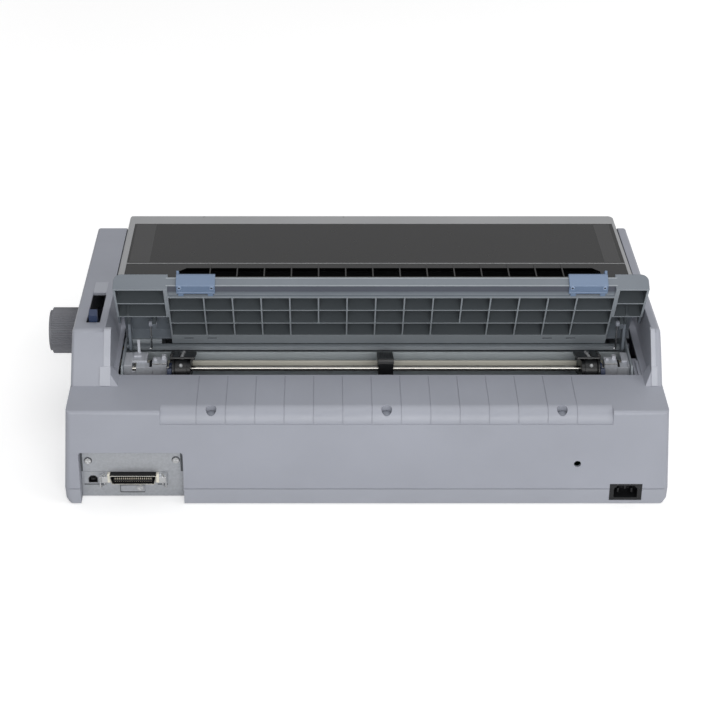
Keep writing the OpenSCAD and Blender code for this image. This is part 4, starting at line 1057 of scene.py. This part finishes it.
@dataclass
class TopCover:
    """Hinged cover with its window, exit bars painted dark as shade, joint lines and latch pin."""

    corner_r: float = 5.0
    side_share: float = 0.35
    ends_beyond: Flat = (-291.9, 268.2)
    lip_before: float = -190.0
    lip_below: float = 139.0
    arms_above: float = 120.0
    joint_x: Flat = (183.0, 21.0)
    joint_half: float = 0.25
    joint_line: tuple[Flat, ...] = (
        (-199.54, 116.0),
        (-199.54, 125.0),
        (-197.03, 132.05),
        (-192.03, 137.45),
        (-184.0, 139.58),
        (-184.0, 138.9),
        (-191.6, 136.8),
        (-196.4, 131.7),
        (-198.9, 125.0),
        (-198.9, 116.0),
    )
    bars: int = 14
    bar_at: float = -24.6
    bar_gap: float = 29.6
    bar_half: float = 0.75
    bar_y: Flat = (-42.5, -15.5)
    bar_depth: Flat = (0.22, -0.1)
    exit_x: Flat = (-258.5, 202.5)
    exit_y: Flat = (-45.0, -12.0)
    strip_x: tuple[Flat, ...] = ((-284.0, -266.0), (236.0, 258.5))
    strip_y: Flat = (-163.5, -56.0)
    strip_depth: Flat = (0.22, 0.14)
    latch_at: Flat = (254.0, -20.0)
    latch_sunk: float = 0.4
    latch_ring: tuple[float, float, float] = (1.4, 2.3, 0.7)
    """Inner radius, outer radius and height of the ring round the latch pin."""
    latch_pin: tuple[Flat, ...] = ((1.3, -0.4), (1.3, 0.1), (0.9, 0.3))

    def edge_radius(self, middle: Vector, along: Vector) -> float:
        """Gives the radius of one of the cover's edges.

        Args:
            middle: Middle of the edge, in millimetres from the middle of the case.
            along: Its direction.

        Returns:
            The radius in millimetres, 0 where the edge stays sharp.
        """
        x, y, z = middle
        left, right = self.ends_beyond
        end = x > right or x < left
        if end and y < self.lip_before and z < self.lip_below:
            return self.corner_r
        if end and z > self.arms_above and abs(along[1]) > 0.5:
            return self.corner_r * self.side_share
        return 0.0

    def build(self, bench: Bench) -> None:
        """Makes the shells of cover and exit, the joint lines, the window's strips and the latch pin.

        Args:
            bench: The bench to work on.
        """
        bench.shell("top_cover", self.corner_r, self.edge_radius)
        # smoky frame; the slot walls are painted near black as shade
        finishes = ["smoky_plastic", "slot_painted_shade"]
        bench.shell("paper_exit_grille", 0, paint=self.paint_exit, finishes=finishes)
        joints = Form(CASE)
        for x in self.joint_x:
            joints.drawn(self.joint_line, Along.X, x - self.joint_half, x + self.joint_half)
        # Near black bars across the exit slot, painted shade.
        for k in range(self.bars):
            x = self.bar_at + (k - (self.bars - 1) / 2) * self.bar_gap
            across = (x - self.bar_half, x + self.bar_half)
            self.slab(joints, across, self.bar_y, *self.bar_depth, 1)
        finishes = ["shadow_gap", "slot_painted_shade"]
        bench.add("cover_joint_lines", joints, "cover", "cover_plastic", finishes, 0)
        strips = Form(CASE)
        for x in self.strip_x:
            self.slab(strips, x, self.strip_y, *self.strip_depth)
        bench.add("window_edge_strips", strips, "cover", "smoky_plastic", ["smoky_edge"], 0)
        latch = Form(CASE)
        up = Vector((0, 0, 1))
        height = shoulder_top(self.latch_at[1])
        latch.hoop(Vector((*self.latch_at, height - self.latch_sunk)), up, *self.latch_ring)
        latch.turned(self.latch_pin, Vector((*self.latch_at, height)), up, 20, 1)
        finishes = ["shadow_gap", "cover_plastic"]
        bench.add("cover_latch_pin", latch, "cover", "cover_plastic", finishes, 0)

    def slab(
        self, form: Form, x: Flat, y: Flat, deep: float, shallow: float, finish: int = 0
    ) -> None:
        """Adds a thin slab that lies along the cover's sloping top.

        Args:
            form: The form that it goes into.
            x: Where it starts and ends across the cover.
            y: Where it starts and ends along the cover.
            deep: Depth of its lower side under the top.
            shallow: Depth of its upper side, below 0 where it stands out.
            finish: Index of the material.
        """
        low, high = shoulder_top(y[0]), shoulder_top(y[1])
        outline = [(y[0], low - deep), (y[1], high - deep), (y[1], high - shallow), (y[0], low - shallow)]
        form.drawn(outline, Along.X, x[0], x[1], finish)

    def paint_exit(self, middle: Vector, normal: Vector) -> int:
        """Picks the material of a face of the exit.

        Args:
            middle: Middle of the face, in millimetres from the middle of the case.
            normal: Its normal.

        Returns:
            1 for the walls of its slots, painted near black as shade, else 0.
        """
        x, y, _ = middle
        inside = self.exit_y[0] < y < self.exit_y[1] and self.exit_x[0] < x < self.exit_x[1]
        return 1 if inside and abs(normal[2]) < 0.5 else 0


@dataclass
class PaperGuide:
    """Raised guide with its sheet edge guides."""

    rib_r: float = 0.35
    lattice_x: Flat = (-258.0, 206.2)
    pocket_s: Flat = (7.0, 86.0)
    end_pocket_s: Flat = (31.0, 100.5)
    end_x: Flat = (-288.2, 258.2)
    back_t: float = 24.6
    rim_t: float = 8.9
    # Light strips at the rail's edges are painted highlights; a darker band on its lower slope is painted
    # shade.
    lines: tuple[tuple[Flat, Flat], ...] = (
        ((102.9, 103.28), (21.4, 22.8)),
        ((102.9, 103.3), (12.5, 13.7)),
        ((86.6, 88.0), (8.25, 8.7)),
    )
    painted_shade_band: tuple[Flat, ...] = ((102.7, 12.3), (95.5, 10.5), (95.5, 10.75), (102.7, 12.6))
    rib_highlight_line: tuple[Flat, ...] = ((92.3, 9.7), (91.5, 9.5), (91.5, 9.75), (92.3, 9.95))
    slot_x: tuple[float, ...] = (188.0, 163.0, -195.0, -220.0)
    slot_half: float = 5.1
    slot_s: Flat = (0.3, 3.0)
    slot_t: Flat = (9.3, 10.4)
    guides: tuple[tuple[str, float, float], ...] = (
        ("left_edge_guide", -248.1, 0.0),
        ("right_edge_guide", 155.5, 37.6),
    )
    """Name, start and the fence's distance from the start of each edge guide."""
    guide_w: float = 40.0
    fence_t: float = 2.4
    saddle: tuple[Flat, ...] = (
        (94.5, 8.3),
        (105.3, 10.85),
        (106.0, 12.3),
        (106.0, 22.8),
        (105.6, 24.9),
        (104.4, 26.3),
        (102.6, 26.8),
        (86.5, 26.8),
        (86.5, 23.15),
        (103.35, 23.15),
        (103.35, 12.15),
        (94.5, 9.95),
    )
    fence: tuple[Flat, ...] = (
        (66.0, 27.15),
        (87.0, 27.15),
        (87.0, 26.3),
        (103.8, 26.3),
        (105.0, 30.0),
        (98.0, 33.0),
        (70.0, 33.0),
        (66.0, 29.8),
    )
    foot: tuple[Flat, ...] = ((94.8, 8.3), (91.6, 7.3), (90.6, 7.8), (91.4, 9.0), (94.8, 9.9))
    foot_at: Flat = (2.0, 32.5)
    foot_w: float = 5.5
    # A near black strip under the lower edge is painted shadow; the glint is a painted highlight.
    gap_x: Flat = (1.0, 39.0)
    gap: tuple[Flat, ...] = ((94.8, 8.7), (93.4, 8.4), (93.4, 9.6), (94.8, 9.9))
    glint_x: Flat = (0.6, 39.4)
    glint: tuple[Flat, ...] = ((96.6, 8.6), (96.0, 8.45), (96.0, 8.9), (96.6, 9.1))
    eyelet_at: Flat = (3.4, 36.6)
    eyelet_st: Flat = (103.2, 10.5)
    eyelet_along: Point = (0.0, 0.236, -0.972)
    eyelet_ring: tuple[float, float, float] = (1.15, 2.3, 1.3)
    """Inner radius, outer radius and height of an eyelet's collar."""
    eyelet_hole: tuple[Flat, ...] = ((1.15, 0.0), (1.15, 0.5), (0.8, 0.6))

    def build(self, bench: Bench) -> None:
        """Makes the guide's shell, its rail lines and both edge guides.

        Args:
            bench: The bench to work on.
        """
        # outside plastic, painted highlight on the rib edges, painted shade in the pockets
        finishes = ["guide_plastic", "guide_rim_painted_highlight", "guide_pocket_painted_shade"]
        bench.shell("paper_guide", self.rib_r, paint=self.paint, finishes=finishes, segments=2)
        self.build_rail(bench)
        for node, x, fence in self.guides:
            self.build_edge_guide(bench, node, x, x + fence)

    def build_rail(self, bench: Bench) -> None:
        """Makes the painted highlight lines and the painted shade band along the rail, and the slots under
        the ribs painted dark as shade.

        Args:
            bench: The bench to work on.
        """
        rail = Form(GUIDE)
        low, high = self.lattice_x
        # Painted highlight lines and a painted shade band along the rail.
        for s, t in self.lines:
            rail.brick((low, high), s, t)
        rail.drawn(self.painted_shade_band, Along.X, low, high, 1)
        rail.drawn(self.rib_highlight_line, Along.X, low, high)
        # Near black pads over the slots under the ribs, painted shade.
        for x in self.slot_x:
            rail.brick((x - self.slot_half, x + self.slot_half), self.slot_s, self.slot_t, 2)
        finishes = ["guide_rim_painted_highlight", "guide_painted_shade_band", "shadow_gap"]
        bench.add("guide_rail_lines", rail, "paper_guide", "guide_plastic", finishes, 0)

    def build_edge_guide(self, bench: Bench, node: str, x: float, fence: float) -> None:
        """Makes a sheet edge guide with its eyelets and feet.

        Args:
            bench: The bench to work on.
            node: Name of the edge guide's node and body.
            x: Where it starts.
            fence: Where its fence starts.
        """
        form = Form(GUIDE)
        form.drawn(self.saddle, Along.X, x, x + self.guide_w)
        form.drawn(self.fence, Along.X, fence, fence + self.fence_t)
        for off in self.foot_at:
            form.drawn(self.foot, Along.X, x + off, x + off + self.foot_w)
        # A near black strip under the lower edge, painted shadow; a lighter strip on the edge, painted
        # highlight.
        form.drawn(self.gap, Along.X, x + self.gap_x[0], x + self.gap_x[1], 1)
        form.drawn(self.glint, Along.X, x + self.glint_x[0], x + self.glint_x[1], 2)
        finishes = ["blue_plastic", "shadow_gap", "blue_painted_highlight"]
        piece = bench.add(node + "_saddle", form, node, "blue_plastic", finishes, 0.3)
        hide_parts(node)
        rings = Form(GUIDE)
        out = Vector(self.eyelet_along)
        # Collars in the lighter blue of the painted highlight, holes near black as painted shade.
        for off in self.eyelet_at:
            foot = Vector((x + off, *self.eyelet_st))
            rings.hoop(foot, out, *self.eyelet_ring)
            rings.turned(self.eyelet_hole, foot, out, 20, 1)
        bench.add(node + "_eyelets", rings, node, "blue_plastic", ["blue_painted_highlight", "shadow_gap"], 0)

    def paint(self, middle: Vector, normal: Vector) -> int:
        """Picks the material of a face of the guide.

        Args:
            middle: Middle of the face, in millimetres from the middle of the case.
            normal: Its normal.

        Returns:
            0 for the outside, 1 for the ribs' edges with a painted highlight, 2 inside the pockets with
            painted shade.
        """
        x, s, t = GUIDE.local(CASE.point(middle))
        if self.lattice_x[0] < x < self.lattice_x[1]:
            inside = self.pocket_s[0] < s < self.pocket_s[1]
        else:
            between = self.end_x[0] < x < self.end_x[1]
            inside = between and self.end_pocket_s[0] < s < self.end_pocket_s[1]
        if not inside or t > self.back_t:
            return 0
        return 1 if t < self.rim_t else 2


@dataclass
class Tractors:
    """Both tractors with their belts' pale pins, their covers and lock levers."""

    belt_outer: float = 11.2
    pin_clear: float = 0.08
    reach: float = 42.9
    edge_r: float = 0.3

    def build(self, bench: Bench) -> None:
        """Makes the shells of both tractors.

        Args:
            bench: The bench to work on.
        """
        finishes = ["black_plastic", "pin_plastic"]
        for side, place in (("left", LEFT_TRACTOR), ("right", RIGHT_TRACTOR)):
            bench.shell(side + "_pin_belt", 0, paint=self.pins_of(place), finishes=finishes)
            for part in ("tractor", "tractor_cover", "lock_lever"):
                bench.shell(side + "_" + part, self.edge_r, segments=2)

    def pins_of(self, place: TiltedPlace) -> Callable[[Vector, Vector], int]:
        """Gives the rule that paints a belt's pins.

        Args:
            place: The tractor's own place.

        Returns:
            The rule: 1 on a pin, 0 on the belt.
        """

        def paint(middle: Vector, normal: Vector) -> int:
            """Tells a face of a pin from one of the belt.

            Args:
                middle: Middle of the face, in millimetres from the middle of the case.
                normal: Its normal.

            Returns:
                1 on a pin, 0 on the belt.
            """
            at = place.local(CASE.point(middle))
            along = min(max(at[1], 0.0), self.reach)
            off = math.hypot(at[1] - along, at[2])
            return 1 if off > self.belt_outer + self.pin_clear else 0

        return paint


@dataclass
class PaperPath:
    """Lower paper plate with its flange, shaft brackets with their skirts, and the stays' bosses."""

    plate_x: Flat = (-277.0, 253.5)
    plate: tuple[Flat, ...] = (
        (27.0, 30.0),
        (27.0, 77.6),
        (30.6, 81.6),
        (42.8, 90.2),
        (45.2, 90.2),
        (45.2, 79.0),
        (43.6, 79.0),
        (43.6, 88.6),
        (31.8, 80.2),
        (29.0, 76.9),
        (29.0, 30.0),
    )
    skirt_x: tuple[Flat, ...] = ((223.7, 240.6), (-275.0, -264.0))
    skirt: tuple[Flat, ...] = (
        (88.2, 101.6),
        (97.5, 101.6),
        (97.5, 90.0),
        (98.3, 90.0),
        (98.3, 102.6),
        (88.2, 102.6),
    )
    tower_x: tuple[Flat, ...] = ((208.6, 223.5), (-263.8, -250.7))
    tower_lip_highlight: tuple[Flat, Flat] = ((97.3, 97.7), (105.7, 106.6))
    start_tab: tuple[Flat, Flat, Flat] = ((1.0, 5.0), (84.0, 89.0), (106.4, 110.5))
    """Reach from the tower's start, place along Y and height of its first tab."""
    end_tab: tuple[Flat, Flat, Flat] = ((-4.5, -1.5), (88.0, 91.0), (106.4, 109.0))
    """Reach from the tower's end, place along Y and height of its second tab."""
    tabs: tuple[tuple[Flat, Flat, Flat], ...] = (
        ((237.6, 240.4), (71.0, 73.0), (104.5, 121.5)),
        ((236.0, 244.0), (72.0, 80.0), (104.5, 106.3)),
    )
    gap_x: tuple[Flat, ...] = ((224.2, 226.6), (-266.6, -264.4))
    gap_y: Flat = (85.0, 97.56)
    gap_z: Flat = (66.2, 104.0)
    bracket_r: float = 0.4
    boss_x: Flat = (-266.5, 226.7)
    boss_at: Flat = (59.39, 133.72)
    boss: tuple[Flat, ...] = ((3.0, -6.4), (3.4, -5.6), (3.4, 1.2), (2.6, 2.0))

    def build(self, bench: Bench) -> None:
        """Makes the plate, the brackets with their skirts and the bosses.

        Args:
            bench: The bench to work on.
        """
        plate = Form(CASE)
        plate.drawn(self.plate, Along.X, *self.plate_x)
        piece = bench.add("lower_paper_plate_shell", plate, "case", "dark_frame", ["plate_zinc"], 0.3)
        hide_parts("lower_paper_plate")
        skirts = Form(CASE)
        for low, high in self.skirt_x:
            skirts.drawn(self.skirt, Along.X, low, high)
        for low, high in self.tower_x:
            # A thin bright strip on each bracket's top edge, painted highlight.
            skirts.brick((low, high), *self.tower_lip_highlight, 1)
            for edge, (x, y, z) in ((low, self.start_tab), (high, self.end_tab)):
                skirts.brick((edge + x[0], edge + x[1]), y, z)
        for x, y, z in self.tabs:
            skirts.brick(x, y, z)
        # Painted shadow: near black slabs in the gaps beside the brackets.
        for low, high in self.gap_x:
            skirts.brick((low, high), self.gap_y, self.gap_z, 2)
        finishes = ["bracket_zinc", "bright_rim_and_highlight", "shadow_gap"]
        bench.add("bracket_skirts", skirts, "case", "steel_plate", finishes, 0.15)
        finishes = ["steel_plate", "bracket_zinc"]
        bench.shell(
            "tractor_brackets", self.bracket_r, paint=second_finish, finishes=finishes, segments=2
        )
        bosses = Form(CASE)
        for x in self.boss_x:
            bosses.turned(self.boss, Vector((x, *self.boss_at)), Vector((1, 0, 0)), 24)
        bench.add("stay_bosses", bosses, "guide_stays", "steel", ["grey_plastic"], 0)


def main() -> None:
    """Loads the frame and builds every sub-assembly's looks in order."""
    logging.basicConfig(level=logging.INFO, format="%(message)s")
    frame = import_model()
    bpy.context.scene.view_settings.view_transform = "Standard"
    bench = Bench(frame, Palette())
    Studio().build()
    for node in frame["nodes"]:
        bench.dress(node)
    for assembly in (Housing(), SocketBay(), TopCover(), PaperGuide(), Tractors(), PaperPath()):
        assembly.build(bench)
        LOG.info("built %s", type(assembly).__name__)


if __name__ == "__main__":
    main()
